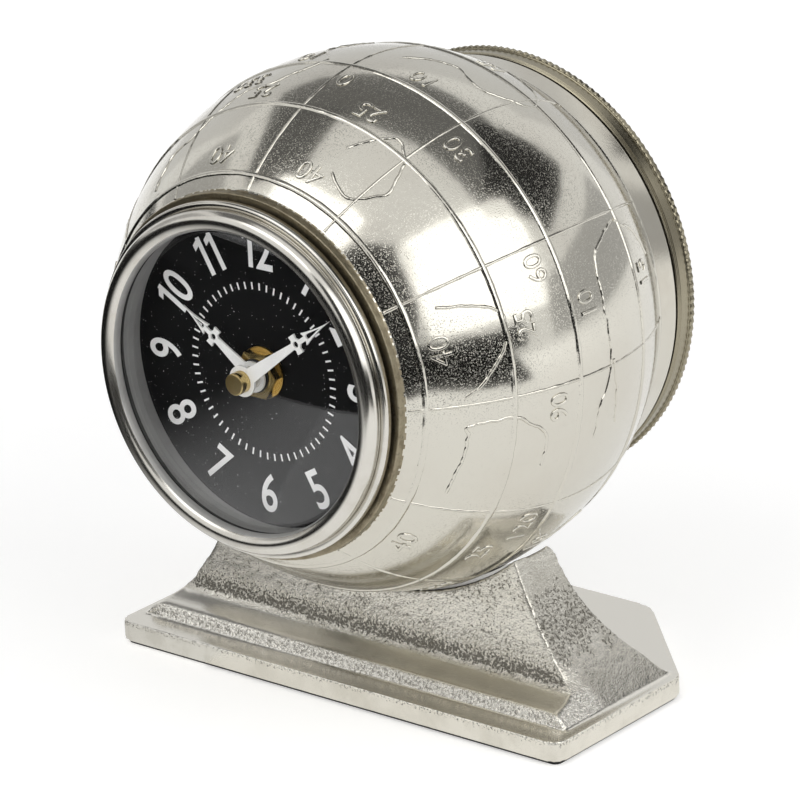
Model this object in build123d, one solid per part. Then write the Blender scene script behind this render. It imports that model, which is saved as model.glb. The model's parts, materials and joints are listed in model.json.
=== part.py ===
from build123d import *
from math import acos, cos, pi, radians, sin, sqrt, tan
import os

# World time clock: a cast globe on a stepped plinth, a quartz dial in front and a coin-edged cover behind.
# Millimetres, +Z up, the dial faces -Y, and the origin is on the table under the globe's centre.
# Clock frame: its origin is the globe's centre and its +Z is the dial's outward axis, so a size that is
# called an offset is measured along that axis, towards the viewer.

# Globe casting
globe_radius = 65.0
globe_wall = 3.5
globe_foot_height = 25.0
foot_flat_depth = 0.5
rim_width = 2.75
rim_lip_length = 1.6
ledge_thickness = 3.0
ledge_width = 2.0
ledge_clearance = 0.85
collar_radius = 53.0
collar_wall = 3.5
collar_length = 5.8
boss_radius = 9.0
boss_height = 2.4

# Plinth casting
felt_thickness = 1.0
felt_inset = 1.2
plate_width = 135.0
plate_front = 26.0
plate_rear = 53.0
plate_top = 6.0
plate_corner_radius = 3.0
plate_rear_cut = 31.0
plate_rear_radius = 8.0
step_front = 19.0
step_rear = 22.5
step_top = 9.4
cove_rise = 1.8
wall_front_foot = 10.0
wall_front_top = 8.2
wall_front_sag = 0.5
wall_rear_foot = 18.5
wall_rear_top = 6.5
wall_rear_sag = 3.0
wall_rear_round = 4.0
wall_tip_height = 0.66
end_ledge = 2.5
end_top_half_width = 42.5
end_sag = 2.6
saddle_ease = 1.5
saddle_pad_height = 1.0
saddle_pad_radius = 7.0
core_pocket_inner = 15.0
core_pocket_outer = 40.0
core_pocket_half_depth = 4.5
core_pocket_top = 17.0

# Fixing bolt between the plinth and the globe
bolt_radius = 3.0
bolt_hole_clearance = 0.2
bolt_head_width = 10.0
bolt_head_height = 4.0
bolt_seat_height = 14.0
bolt_counterbore_radius = 7.5
bolt_tail = 1.5
nut_height = 5.0
washer_radius = 6.0
washer_thickness = 1.4
thread_clearance = 0.02

# Dial case, bezel and glass
case_seat_depth = 5.7
case_wall = 1.0
case_floor = 1.0
grip_gap = 0.6
grip_ring_width = 3.6
grip_ring_clearance = 0.05
bezel_stand_off = 2.5
bezel_overhang = 2.0
bezel_shoulder = 2.3
bezel_shoulder_width = 1.9
bezel_shoulder_round = 0.9
bezel_groove_depth = 0.5
bezel_crest_height = 5.6
bezel_lip_height = 2.6
bezel_lip_edge = 0.8
bezel_lip_width = 2.0
bezel_skirt_length = 2.0
bezel_skirt_wall = 1.3
slip_fit = 0.1
glass_thickness = 1.8
glass_rise = 5.2
gasket_thickness = 1.0
gasket_width = 1.5
spacer_wall = 2.1
spacer_taper = 0.5
dial_thickness = 0.8

# Quartz movement
movement_width = 56.0
movement_depth = 17.0
movement_corner = 3.0
movement_wall = 1.2
bay_wall = 1.0
bay_clearance = 0.4
bush_radius = 4.0
bush_hole_clearance = 0.15
bush_height = 2.7
rubber_washer_radius = 9.0
rubber_washer_thickness = 0.8
brass_washer_radius = 6.2
brass_washer_thickness = 0.6
brass_nut_width = 10.4
brass_nut_height = 2.4
bridge_gap = 3.4
bridge_thickness = 1.4
bridge_side_gap = 1.8
post_radius = 2.0
motor_width = 26.0
motor_height = 12.0
motor_depth = 4.6
motor_corner = 1.5
board_width = 10.0
board_height = 22.0
board_thickness = 1.0
contact_width = 9.0
contact_thickness = 0.5
contact_bow = 1.0
contact_dimple_radius = 2.0
contact_gap = 0.1
battery_radius = 7.1
battery_nub_radius = 2.7
battery_nub_length = 1.2
battery_clearance = 0.2

# Motion work: the minute pinion drives the intermediate wheel, whose pinion drives the hour wheel
gear_module = 0.5
minute_pinion_teeth = 10
intermediate_wheel_teeth = 30
intermediate_pinion_teeth = 8
hour_wheel_teeth = 32
tooth_pressure_angle = 28.0
tooth_addendum = 0.7
tooth_dedendum = 1.0
tooth_backlash = 0.16
wheel_thickness = 1.2
pinion_thickness = 1.6
wheel_gap = 0.5
running_clearance = 0.05
minute_shaft_radius = 1.6
minute_pivot_radius = 1.0
pivot_length = 1.5
hour_tube_radius = 2.6
intermediate_arbor_radius = 1.2
arbor_front_pivot = 0.7
knob_radius = 6.0
knob_length = 4.5
knob_gap = 0.4
knob_flutes = 24
knob_flute_depth = 0.5

# Hands
hour_hand_gap = 0.3
hour_hand_length = 24.0
minute_hand_gap = 2.3
minute_hand_length = 33.0
hand_thickness = 0.5
hand_hub_radius = 3.7
hand_waist_width = 1.4
hour_leaf_width = 3.6
minute_leaf_width = 4.0
hour_cross_share = 0.56
minute_cross_share = 0.62
cross_reach = 2.3
cross_root_width = 1.1
cross_flare_width = 1.9
cross_ring_radius = 1.4
cross_hole_radius = 0.75
head_neck_width = 1.1
head_half_width = 1.55
head_ear_sweep = 0.4
head_slot_radius = 0.6
head_slot_web = 0.45
head_shoulder_share = 0.27
head_slot_share = 0.6
head_sag = 0.3
hand_nut_radius = 2.6
hand_nut_height = 2.8
hand_nut_cap = 0.8
hand_nut_round = 0.35
hour_tube_tail = 0.6
rest_hour = 10
rest_minute = 9

# Rear cover
cover_gasket_thickness = 0.8
cover_gasket_width = 2.6
cover_band_length = 4.3
cover_rim_overhang = 0.7
cover_rim_length = 1.5
cover_rim_notches = 180
cover_notch_depth = 0.3
cover_disc_thickness = 2.0
cover_spigot_length = 5.0
cover_spigot_wall = 3.0
cover_spigot_clearance = 0.2

# Derived radii, from the movement out to the globe's bore and the bezel
movement_half_diagonal = movement_width / sqrt(2) - movement_corner * (sqrt(2) - 1)
ledge_radius = movement_half_diagonal + ledge_clearance
bore_radius = ledge_radius + ledge_width
case_radius = bore_radius - grip_gap
case_inner_radius = case_radius - case_wall
glass_seat_radius = case_inner_radius - slip_fit - bezel_skirt_wall
glass_edge_radius = glass_seat_radius - slip_fit
bezel_radius = case_radius + bezel_overhang
bezel_groove_radius = bezel_radius - bezel_shoulder_width
bezel_opening_radius = glass_seat_radius - bezel_lip_width
bezel_crest_radius = (bezel_groove_radius + bezel_opening_radius) / 2
spacer_dial_radius = case_inner_radius - slip_fit - spacer_wall
spacer_glass_radius = spacer_dial_radius - spacer_taper
rim_radius = bore_radius + rim_width

# Derived places along the clock axis
rim_offset = sqrt(globe_radius**2 - rim_radius**2)
rear_rim_offset = sqrt(globe_radius**2 - collar_radius**2) + collar_length
case_seat_offset = rim_offset - case_seat_depth
bezel_rear_offset = rim_offset + bezel_stand_off
bezel_crest_offset = bezel_rear_offset + bezel_crest_height
bezel_lip_offset = bezel_rear_offset + bezel_lip_height
dial_back_offset = case_seat_offset + case_floor
dial_offset = dial_back_offset + dial_thickness
glass_back_offset = bezel_lip_offset - glass_thickness
gasket_back_offset = glass_back_offset - gasket_thickness
skirt_offset = bezel_rear_offset - bezel_skirt_length
movement_front_offset = case_seat_offset - rubber_washer_thickness
movement_back_offset = movement_front_offset - movement_depth
brass_nut_offset = dial_offset + brass_washer_thickness
bush_top_offset = brass_nut_offset + bush_height
hour_wheel_offset = movement_front_offset - movement_wall - wheel_gap - wheel_thickness
intermediate_wheel_offset = hour_wheel_offset - wheel_gap - wheel_thickness
bridge_front_offset = intermediate_wheel_offset - bridge_gap
bridge_offset = bridge_front_offset - bridge_thickness
hour_hand_offset = bush_top_offset + hour_hand_gap
hour_tube_top_offset = hour_hand_offset + hand_thickness + hour_tube_tail
minute_hand_offset = hour_tube_top_offset + minute_hand_gap
hand_nut_offset = minute_hand_offset + hand_thickness

# Derived places inside the movement and up the stand
motion_work_distance = gear_module * (minute_pinion_teeth + intermediate_wheel_teeth) / 2
battery_bay_width = 2 * (battery_radius + bay_clearance)
bay_top = -movement_width / 2 + movement_wall + battery_bay_width
bridge_half_width = movement_width / 2 - movement_wall - bridge_side_gap
globe_bottom = globe_foot_height - foot_flat_depth
saddle_radius = globe_radius + saddle_ease
saddle_centre = globe_foot_height - saddle_pad_height + saddle_radius
wall_top = saddle_centre - sqrt(saddle_radius**2 - end_top_half_width**2) + wall_tip_height
globe_height = globe_bottom + globe_radius
globe_boss_top = globe_bottom + globe_wall + boss_height

clock_frame = Pos(0, 0, globe_height) * Rot(90, 0, 0)


def ring(outer_radius, inner_radius, start, length):
    """A plain ring or tube about the clock axis that begins at an offset."""
    outline = Circle(outer_radius) - Circle(inner_radius)
    return Pos(0, 0, start) * extrude(outline, length)


def turned(curve):
    """The solid that a closed outline of (radius, offset) sweeps about the clock axis."""
    return revolve(Plane.XZ * make_face(curve), Axis.Z)


def sphere_offset(radius, from_axis):
    """How far along the axis a sphere's surface lies at a distance from that axis."""
    return sqrt(radius**2 - from_axis**2)


def sagged_arc(start, end, sag):
    """An arc between two points whose middle stands off the chord, to the left of its direction."""
    run = Vector(end) - Vector(start)
    side = Vector(-run.Y, run.X).normalized()
    middle = (Vector(start) + Vector(end)) / 2 + side * sag
    return ThreePointArc(start, middle, end)


def globe_shell():
    """Spherical casting with a lipped front bore and ledge for the dial case and a short rear collar."""
    inner_radius = globe_radius - globe_wall
    collar_offset = sphere_offset(globe_radius, collar_radius)
    collar_bore = collar_radius - collar_wall
    collar_bore_offset = sphere_offset(inner_radius, collar_bore)
    ledge_back = case_seat_offset - ledge_thickness
    lip_offset = rim_offset + rim_lip_length
    outside = ThreePointArc((rim_radius, rim_offset), (globe_radius, 0), (collar_radius, -collar_offset))
    rear = Polyline((collar_radius, -collar_offset), (collar_radius, -rear_rim_offset),
                    (collar_bore, -rear_rim_offset), (collar_bore, -collar_bore_offset))
    inside = ThreePointArc((collar_bore, -collar_bore_offset), (inner_radius, 0),
                           (sphere_offset(inner_radius, ledge_back), ledge_back))
    front = Polyline((sphere_offset(inner_radius, ledge_back), ledge_back), (ledge_radius, ledge_back),
                     (ledge_radius, case_seat_offset), (bore_radius, case_seat_offset),
                     (bore_radius, lip_offset), (rim_radius, lip_offset), (rim_radius, rim_offset))
    shell = clock_frame * turned(Curve() + [outside, rear, inside, front])
    boss_bottom = globe_bottom + globe_wall / 2
    shell += Pos(0, 0, boss_bottom) * extrude(Circle(boss_radius), globe_boss_top - boss_bottom)
    flat_cut = Pos(0, 0, globe_foot_height) * extrude(Circle(globe_radius), -globe_wall)
    hole = Cylinder(bolt_radius + bolt_hole_clearance, 2 * globe_boss_top)
    return shell - flat_cut - hole


def plate_outline(inset):
    """The plinth plate in plan: square front corners and long 45 degree cuts behind."""
    half_width = plate_width / 2
    cut_start = plate_rear - plate_rear_cut
    corners = [(-half_width, -plate_front), (half_width, -plate_front), (half_width, cut_start),
               (half_width - plate_rear_cut, plate_rear), (plate_rear_cut - half_width, plate_rear),
               (-half_width, cut_start)]
    outline = make_face(Polyline(*corners, close=True))
    outline = fillet(outline.vertices().sort_by(Axis.Y)[-2:], plate_rear_radius)
    outline = fillet(outline.vertices().sort_by(Axis.Y)[:4], plate_corner_radius)
    return offset(outline, -inset) if inset else outline


def plinth_wall():
    """The stepped wall over the plate: one outline seen from the end, cut by one seen from the front."""
    cove_top = step_top + cove_rise
    side = Curve() + [
        Polyline((-step_front, felt_thickness), (-step_front, step_top)),
        sagged_arc((-step_front, step_top), (-wall_front_foot, cove_top), -cove_rise / 4),
        sagged_arc((-wall_front_foot, cove_top), (-wall_front_top, wall_top), -wall_front_sag),
        Polyline((-wall_front_top, wall_top), (wall_rear_top, wall_top)),
        sagged_arc((wall_rear_top, wall_top), (wall_rear_foot, cove_top), -wall_rear_sag),
        sagged_arc((wall_rear_foot, cove_top), (step_rear, plate_top), -cove_rise / 4),
        Polyline((step_rear, plate_top), (step_rear, felt_thickness), (-step_front, felt_thickness))]
    lengthwise = extrude(Plane.YZ * make_face(side), plate_width / 2, both=True)
    rear_arris = lengthwise.edges().filter_by(Axis.X).group_by(Axis.Z)[-1].sort_by(Axis.Y)[-1]
    lengthwise = fillet(rear_arris, wall_rear_round)
    foot_half_width = plate_width / 2 - end_ledge
    front = Curve() + [
        Polyline((-foot_half_width, plate_top), (-foot_half_width, felt_thickness),
                 (foot_half_width, felt_thickness), (foot_half_width, plate_top)),
        sagged_arc((foot_half_width, plate_top), (end_top_half_width, wall_top), end_sag),
        Polyline((end_top_half_width, wall_top), (-end_top_half_width, wall_top)),
        sagged_arc((-end_top_half_width, wall_top), (-foot_half_width, plate_top), end_sag)]
    across = extrude(Plane.XZ * make_face(front), plate_rear, both=True)
    return lengthwise & across


def base_casting():
    """Plinth casting: plate, stepped wall, saddle for the globe, bolt seat and two core pockets."""
    plate = Pos(0, 0, felt_thickness) * extrude(plate_outline(0), plate_top - felt_thickness)
    casting = plate + plinth_wall()
    casting -= Pos(0, 0, saddle_centre) * Sphere(saddle_radius)
    pad_height = globe_foot_height - bolt_seat_height
    casting += Pos(0, 0, bolt_seat_height) * extrude(Circle(saddle_pad_radius), pad_height)
    pocket_length = core_pocket_outer - core_pocket_inner
    pocket_height = core_pocket_top - felt_thickness
    pocket_outline = RectangleRounded(pocket_length, 2 * core_pocket_half_depth, core_pocket_half_depth / 2)
    for side in (-1, 1):
        pocket_middle = side * (core_pocket_inner + pocket_length / 2)
        casting -= Pos(pocket_middle, 0, felt_thickness) * extrude(pocket_outline, pocket_height)
    casting -= Pos(0, 0, felt_thickness) * extrude(Circle(bolt_counterbore_radius),
                                                   bolt_seat_height - felt_thickness)
    return casting - Cylinder(bolt_radius + bolt_hole_clearance, 2 * globe_boss_top)


def base_felt():
    """Felt pad glued under the plate, a little inside its edge."""
    return extrude(plate_outline(felt_inset), felt_thickness)


def fixing_parts():
    """Hex bolt up through the plinth, its two washers and the nut inside the globe."""
    washer = extrude(Circle(washer_radius) - Circle(bolt_radius + bolt_hole_clearance), washer_thickness)
    lower_washer = Pos(0, 0, bolt_seat_height - washer_thickness) * washer
    upper_washer = Pos(0, 0, globe_boss_top) * washer
    hexagon = RegularPolygon(bolt_head_width / 2, 6, major_radius=False)
    head_bottom = bolt_seat_height - washer_thickness - bolt_head_height
    nut_bottom = globe_boss_top + washer_thickness
    bolt_length = nut_bottom + nut_height + bolt_tail - head_bottom
    bolt = extrude(hexagon, bolt_head_height) + extrude(Circle(bolt_radius), bolt_length)
    nut = extrude(hexagon - Circle(bolt_radius + thread_clearance), nut_height)
    return {
        "fixing_bolt": Pos(0, 0, head_bottom) * bolt,
        "fixing_washers": Compound(children=[lower_washer, upper_washer]),
        "fixing_nut": Pos(0, 0, nut_bottom) * nut,
    }


def bezel():
    """Polished ring: stepped shoulder, groove, full rounded crest and a skirt that plugs into the case."""
    shoulder_top = bezel_rear_offset + bezel_shoulder
    groove_bottom = shoulder_top - bezel_groove_depth
    lip_top = bezel_lip_offset + bezel_lip_edge
    skirt_outer = case_inner_radius - slip_fit
    crest = (bezel_crest_radius, bezel_crest_offset)
    outline = Curve() + [
        Polyline((skirt_outer, bezel_rear_offset), (bezel_radius, bezel_rear_offset),
                 (bezel_radius, shoulder_top - bezel_shoulder_round)),
        RadiusArc((bezel_radius, shoulder_top - bezel_shoulder_round),
                  (bezel_radius - bezel_shoulder_round, shoulder_top), -bezel_shoulder_round),
        Polyline((bezel_radius - bezel_shoulder_round, shoulder_top), (bezel_groove_radius, groove_bottom)),
        ThreePointArc((bezel_groove_radius, groove_bottom), crest, (bezel_opening_radius, lip_top)),
        Polyline((bezel_opening_radius, lip_top), (bezel_opening_radius, bezel_lip_offset),
                 (glass_seat_radius, bezel_lip_offset), (glass_seat_radius, skirt_offset),
                 (skirt_outer, skirt_offset), (skirt_outer, bezel_rear_offset))]
    return turned(outline)


def glass():
    """Convex glass with a flat seat at its edge."""
    dome_start = bezel_opening_radius - slip_fit
    outside = sagged_arc((dome_start, bezel_lip_offset), (-dome_start, bezel_lip_offset), -glass_rise)
    inside = sagged_arc((-dome_start, glass_back_offset), (dome_start, glass_back_offset), glass_rise)
    left_edge = Polyline((-dome_start, bezel_lip_offset), (-glass_edge_radius, bezel_lip_offset),
                         (-glass_edge_radius, glass_back_offset), (-dome_start, glass_back_offset))
    right_edge = Polyline((dome_start, glass_back_offset), (glass_edge_radius, glass_back_offset),
                          (glass_edge_radius, bezel_lip_offset), (dome_start, bezel_lip_offset))
    section = make_face(Curve() + [outside, left_edge, inside, right_edge])
    right_side = Pos(glass_edge_radius / 2, bezel_lip_offset) * Rectangle(glass_edge_radius, 4 * glass_rise)
    half = section & right_side
    return revolve(Plane.XZ * half, Axis.Z)


def spacer_ring():
    """Grey ring between the dial and the glass gasket, stepped to pass inside the bezel's skirt."""
    outer = case_inner_radius - slip_fit
    inner_lip = glass_seat_radius - slip_fit
    return turned(Polyline((spacer_dial_radius, dial_offset), (outer, dial_offset), (outer, skirt_offset),
                           (inner_lip, skirt_offset), (inner_lip, gasket_back_offset),
                           (spacer_glass_radius, gasket_back_offset), close=True))


def dial_parts():
    """The case and what it holds, from the grip ring to the glass, and the movement's clamping nut."""
    bush_hole = bush_radius + bush_hole_clearance
    barrel_length = bezel_rear_offset - case_seat_offset
    case = ring(case_radius, case_inner_radius, case_seat_offset, barrel_length)
    case += ring(case_inner_radius + case_wall / 2, bush_hole, case_seat_offset, case_floor)
    grip_start = case_seat_offset + (rim_offset - case_seat_offset - grip_ring_width) / 2
    hexagon = RegularPolygon(brass_nut_width / 2, 6, major_radius=False)
    nut = extrude(hexagon - Circle(bush_radius + thread_clearance), brass_nut_height)
    gasket_inner = glass_edge_radius - gasket_width
    return {
        "dial_case": case,
        "grip_ring": ring(bore_radius - grip_ring_clearance, case_radius + grip_ring_clearance,
                          grip_start, grip_ring_width),
        "bezel": bezel(),
        "glass": glass(),
        "glass_gasket": ring(glass_edge_radius, gasket_inner, gasket_back_offset, gasket_thickness),
        "spacer_ring": spacer_ring(),
        "dial": ring(case_inner_radius - slip_fit, bush_hole, dial_back_offset, dial_thickness),
        "bush_rubber_washer": ring(rubber_washer_radius, bush_hole, movement_front_offset,
                                   rubber_washer_thickness),
        "bush_washer": ring(brass_washer_radius, bush_hole, dial_offset, brass_washer_thickness),
        "bush_nut": Pos(0, 0, brass_nut_offset) * nut,
    }


def gear_outline(teeth, phase):
    """Toothed disc with involute flanks; phase is the direction of one tooth's middle, in degrees."""
    pressure = radians(tooth_pressure_angle)
    pitch_radius = gear_module * teeth / 2
    base_radius = pitch_radius * cos(pressure)
    tip_radius = pitch_radius + tooth_addendum * gear_module
    root_radius = pitch_radius - tooth_dedendum * gear_module
    half_tooth = (pi * gear_module / 2 - tooth_backlash) / (2 * pitch_radius)

    def flank_angle(radius):
        slope = acos(min(base_radius / radius, 1))
        return half_tooth + (tan(pressure) - pressure) - (tan(slope) - slope)

    flank = [(radius, flank_angle(radius)) for radius in (root_radius, pitch_radius, tip_radius)]
    corners = []
    for tooth in range(teeth):
        middle = radians(phase) + 2 * pi * tooth / teeth
        corners += [(radius, middle - angle) for radius, angle in flank]
        corners += [(radius, middle + angle) for radius, angle in reversed(flank)]
    return make_face(Polyline(*[(r * cos(a), r * sin(a)) for r, a in corners], close=True))


def motion_work():
    """Minute arbor, intermediate wheel and hour wheel, meshing on the line up from the clock axis."""
    up = 90.0
    down = up + 180.0
    wheel_half_pitch = 180.0 / intermediate_wheel_teeth
    hour_half_pitch = 180.0 / hour_wheel_teeth
    pinion_start = intermediate_wheel_offset - (pinion_thickness - wheel_thickness) / 2
    pivot_start = bridge_offset - pivot_length
    shaft_top = hand_nut_offset + hand_nut_height - hand_nut_cap - running_clearance
    arbor = Pos(0, 0, pinion_start) * extrude(gear_outline(minute_pinion_teeth, up), pinion_thickness)
    arbor += Pos(0, 0, pinion_start) * extrude(Circle(minute_shaft_radius), shaft_top - pinion_start)
    arbor += Pos(0, 0, bridge_front_offset + running_clearance) * extrude(
        Circle(minute_shaft_radius), pinion_start - bridge_front_offset - running_clearance)
    arbor += Pos(0, 0, pivot_start) * extrude(Circle(minute_pivot_radius), pinion_start - pivot_start)

    small_pinion_length = hour_wheel_offset + wheel_thickness - intermediate_wheel_offset
    intermediate = extrude(gear_outline(intermediate_wheel_teeth, down + wheel_half_pitch), wheel_thickness)
    intermediate += extrude(gear_outline(intermediate_pinion_teeth, down), small_pinion_length)
    intermediate = Pos(0, 0, intermediate_wheel_offset) * intermediate
    arbor_start = movement_back_offset - knob_gap - knob_length / 2
    arbor_end = movement_front_offset - movement_wall + arbor_front_pivot
    intermediate += Pos(0, 0, arbor_start) * extrude(
        Circle(intermediate_arbor_radius), arbor_end - arbor_start)

    hour_tube_length = hour_tube_top_offset - hour_wheel_offset
    hour = extrude(gear_outline(hour_wheel_teeth, up + hour_half_pitch), wheel_thickness)
    hour += extrude(Circle(hour_tube_radius), hour_tube_length)
    hour -= extrude(Circle(minute_shaft_radius + running_clearance), hour_tube_length)
    return {
        "minute_arbor": arbor,
        "intermediate_wheel": Pos(0, motion_work_distance, 0) * intermediate,
        "hour_wheel": Pos(0, 0, hour_wheel_offset) * hour,
    }


def notched_disc(radius, notches, depth):
    """A disc whose edge is cut into a ring of even V notches."""
    corners = []
    for notch in range(notches):
        for part, corner_radius in ((0, radius), (0.5, radius - depth)):
            angle = 2 * pi * (notch + part) / notches
            corners.append((corner_radius * cos(angle), corner_radius * sin(angle)))
    return make_face(Polyline(*corners, close=True))


def set_knob():
    """Fluted hand-setting knob on the rear end of the intermediate arbor."""
    knob = extrude(notched_disc(knob_radius, knob_flutes, knob_flute_depth), knob_length)
    socket = extrude(Circle(intermediate_arbor_radius + thread_clearance), knob_length / 2)
    knob -= Pos(0, 0, knob_length / 2) * socket
    return Pos(0, motion_work_distance, movement_back_offset - knob_gap - knob_length) * knob


def movement_case():
    """Square case, open behind, with the threaded bush, the battery bay's wall and four bridge posts."""
    inner_depth = movement_depth - movement_wall
    inner_width = movement_width - 2 * movement_wall
    back_offset = movement_back_offset + movement_wall
    outline = RectangleRounded(movement_width, movement_width, movement_corner)
    hollow = RectangleRounded(inner_width, inner_width, movement_corner - movement_wall)
    case = Pos(0, 0, back_offset) * extrude(outline, inner_depth)
    case -= Pos(0, 0, back_offset) * extrude(hollow, inner_depth - movement_wall)
    bay_partition = Pos(0, bay_top + bay_wall / 2) * Rectangle(inner_width, bay_wall)
    case += Pos(0, 0, back_offset) * extrude(bay_partition, inner_depth - movement_wall / 2)
    post_length = movement_front_offset - bridge_front_offset - movement_wall / 2
    for x, y in post_places():
        case += Pos(x, y, bridge_front_offset) * extrude(Circle(post_radius), post_length)
    case += Pos(0, 0, movement_front_offset - movement_wall / 2) * extrude(
        Circle(bush_radius), bush_top_offset - movement_front_offset + movement_wall / 2)
    case -= Pos(0, 0, movement_front_offset - movement_wall) * extrude(
        Circle(hour_tube_radius + running_clearance), bush_top_offset - movement_front_offset + movement_wall)
    pivot_hole = extrude(Circle(intermediate_arbor_radius + running_clearance),
                         arbor_front_pivot + running_clearance)
    return case - Pos(0, motion_work_distance, movement_front_offset - movement_wall) * pivot_hole


def post_places():
    """Where the four bridge posts stand, seen from the front."""
    low = bay_top + bay_wall + 2 * post_radius
    high = movement_width / 2 - movement_wall - 2 * post_radius
    across = bridge_half_width - post_radius
    return [(-across, low), (across, low), (-across, high), (across, high)]


def movement_parts():
    """The quartz movement: case, bridge, sealed motor, circuit board, contacts, battery and back plate."""
    inner_half = movement_width / 2 - movement_wall
    bridge_bottom = bay_top + bay_wall + post_radius
    bridge_height = inner_half - post_radius - bridge_bottom
    bridge_middle = bridge_bottom + bridge_height / 2
    minute_hole = Circle(minute_pivot_radius + running_clearance)
    intermediate_hole = Pos(0, motion_work_distance) * Circle(intermediate_arbor_radius + running_clearance)
    bridge = Pos(0, bridge_middle) * Rectangle(2 * bridge_half_width, bridge_height)
    bridge = extrude(bridge - minute_hole - intermediate_hole, bridge_thickness)

    motor_middle = bridge_bottom + motor_height / 2
    motor_outline = RectangleRounded(motor_width, motor_height, motor_corner)
    motor = extrude(Pos(0, motor_middle) * motor_outline, -motor_depth)
    motor -= extrude(minute_hole, -pivot_length - running_clearance)
    board_x = -bridge_half_width + board_width / 2
    board_y = bridge_bottom + bridge_height - board_height / 2
    board = extrude(Pos(board_x, board_y) * Rectangle(board_width, board_height), -board_thickness)

    cover_outline = RectangleRounded(movement_width, movement_width, movement_corner)
    cover_outline &= Pos(0, (bay_top + movement_width) / 2) * Rectangle(
        movement_width, movement_width - bay_top)
    cover = Pos(0, 0, movement_back_offset) * extrude(cover_outline - intermediate_hole, movement_wall)

    bay_middle = bay_top - battery_bay_width / 2
    battery_middle = movement_front_offset - movement_wall - battery_clearance - battery_radius
    bay_place = Pos(0, bay_middle, battery_middle)
    contact = Plane.YZ * RectangleRounded(contact_width, contact_width, contact_bow)
    contact = extrude(contact, contact_thickness)
    contact += extrude(Plane.YZ * Circle(contact_dimple_radius), contact_thickness + contact_bow)
    contact = Pos(-inner_half, 0, 0) * contact
    cell_length = 2 * (inner_half - contact_thickness - contact_bow - contact_gap)
    barrel = Plane.YZ * Circle(battery_radius)
    cell = Pos(-cell_length / 2, 0, 0) * extrude(barrel, cell_length - battery_nub_length)
    cell += Pos(cell_length / 2 - battery_nub_length, 0, 0) * extrude(
        Plane.YZ * Circle(battery_nub_radius), battery_nub_length)
    return {
        "movement_case": movement_case(),
        "movement_back": cover,
        "bridge_plate": Pos(0, 0, bridge_offset) * bridge,
        "motor_module": Pos(0, 0, bridge_offset) * motor,
        "circuit_board": Pos(0, 0, bridge_offset) * board,
        "contact_negative": bay_place * contact,
        "contact_positive": bay_place * Rot(0, 0, 180) * contact,
        "battery": bay_place * cell,
        "set_knob": set_knob(),
    }


def ornate_hand(length, leaf_width, cross_share, hole_radius, clock_angle):
    """Flat hand: hub, tapering leaf, a flared crosspiece round a hole, and a pierced arrow head."""
    cross = cross_share * length
    shoulder = cross + head_shoulder_share * (length - cross)
    slot_base = shoulder + head_slot_web + head_slot_radius
    slot_tip = shoulder + head_slot_share * (length - shoulder)
    leaf = make_face(Polyline((-leaf_width / 2, 0), (leaf_width / 2, 0), (hand_waist_width / 2, cross),
                              (-hand_waist_width / 2, cross), close=True))
    ear = (head_half_width, shoulder - head_ear_sweep)
    right = Curve() + [Polyline((0, cross), (head_neck_width / 2, cross), (head_neck_width / 2, shoulder), ear),
                       sagged_arc(ear, (0, length), head_sag)]
    head = make_face(right + Line((0, length), (0, cross)))
    head += mirror(head, Plane.YZ)
    crosspiece = Pos(0, cross) * Circle(cross_ring_radius)
    for side in (-1, 1):
        crosspiece += make_face(Polyline(
            (0, cross - cross_root_width / 2), (side * cross_reach, cross - cross_flare_width / 2),
            (side * cross_reach, cross + cross_flare_width / 2), (0, cross + cross_root_width / 2), close=True))
    slot = make_face(Polyline((-head_slot_radius, slot_base), (head_slot_radius, slot_base), (0, slot_tip),
                              close=True))
    slot += Pos(0, slot_base) * Circle(head_slot_radius)
    outline = Circle(hand_hub_radius) + leaf + head + crosspiece - slot
    outline -= Circle(hole_radius)
    outline -= Pos(0, cross) * Circle(cross_hole_radius)
    return Rot(0, 0, -clock_angle) * extrude(outline, hand_thickness)


def hand_parts():
    """The two hands at the rest time and the brass cap nut on the minute arbor."""
    minute_angle = 360 * rest_minute / 60
    hour_angle = 360 * (rest_hour + rest_minute / 60) / 12
    nut = extrude(Circle(hand_nut_radius), hand_nut_height)
    nut = fillet(nut.faces().sort_by(Axis.Z)[-1].edges(), hand_nut_round)
    nut -= extrude(Circle(minute_shaft_radius + thread_clearance), hand_nut_height - hand_nut_cap)
    hour_hole = hour_tube_radius + thread_clearance
    minute_hole = minute_shaft_radius + thread_clearance
    hour_hand = ornate_hand(hour_hand_length, hour_leaf_width, hour_cross_share, hour_hole, hour_angle)
    minute_hand = ornate_hand(minute_hand_length, minute_leaf_width, minute_cross_share, minute_hole,
                              minute_angle)
    return {
        "hour_hand": Pos(0, 0, hour_hand_offset) * hour_hand,
        "minute_hand": Pos(0, 0, minute_hand_offset) * minute_hand,
        "hand_nut": Pos(0, 0, hand_nut_offset) * nut,
    }


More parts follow.
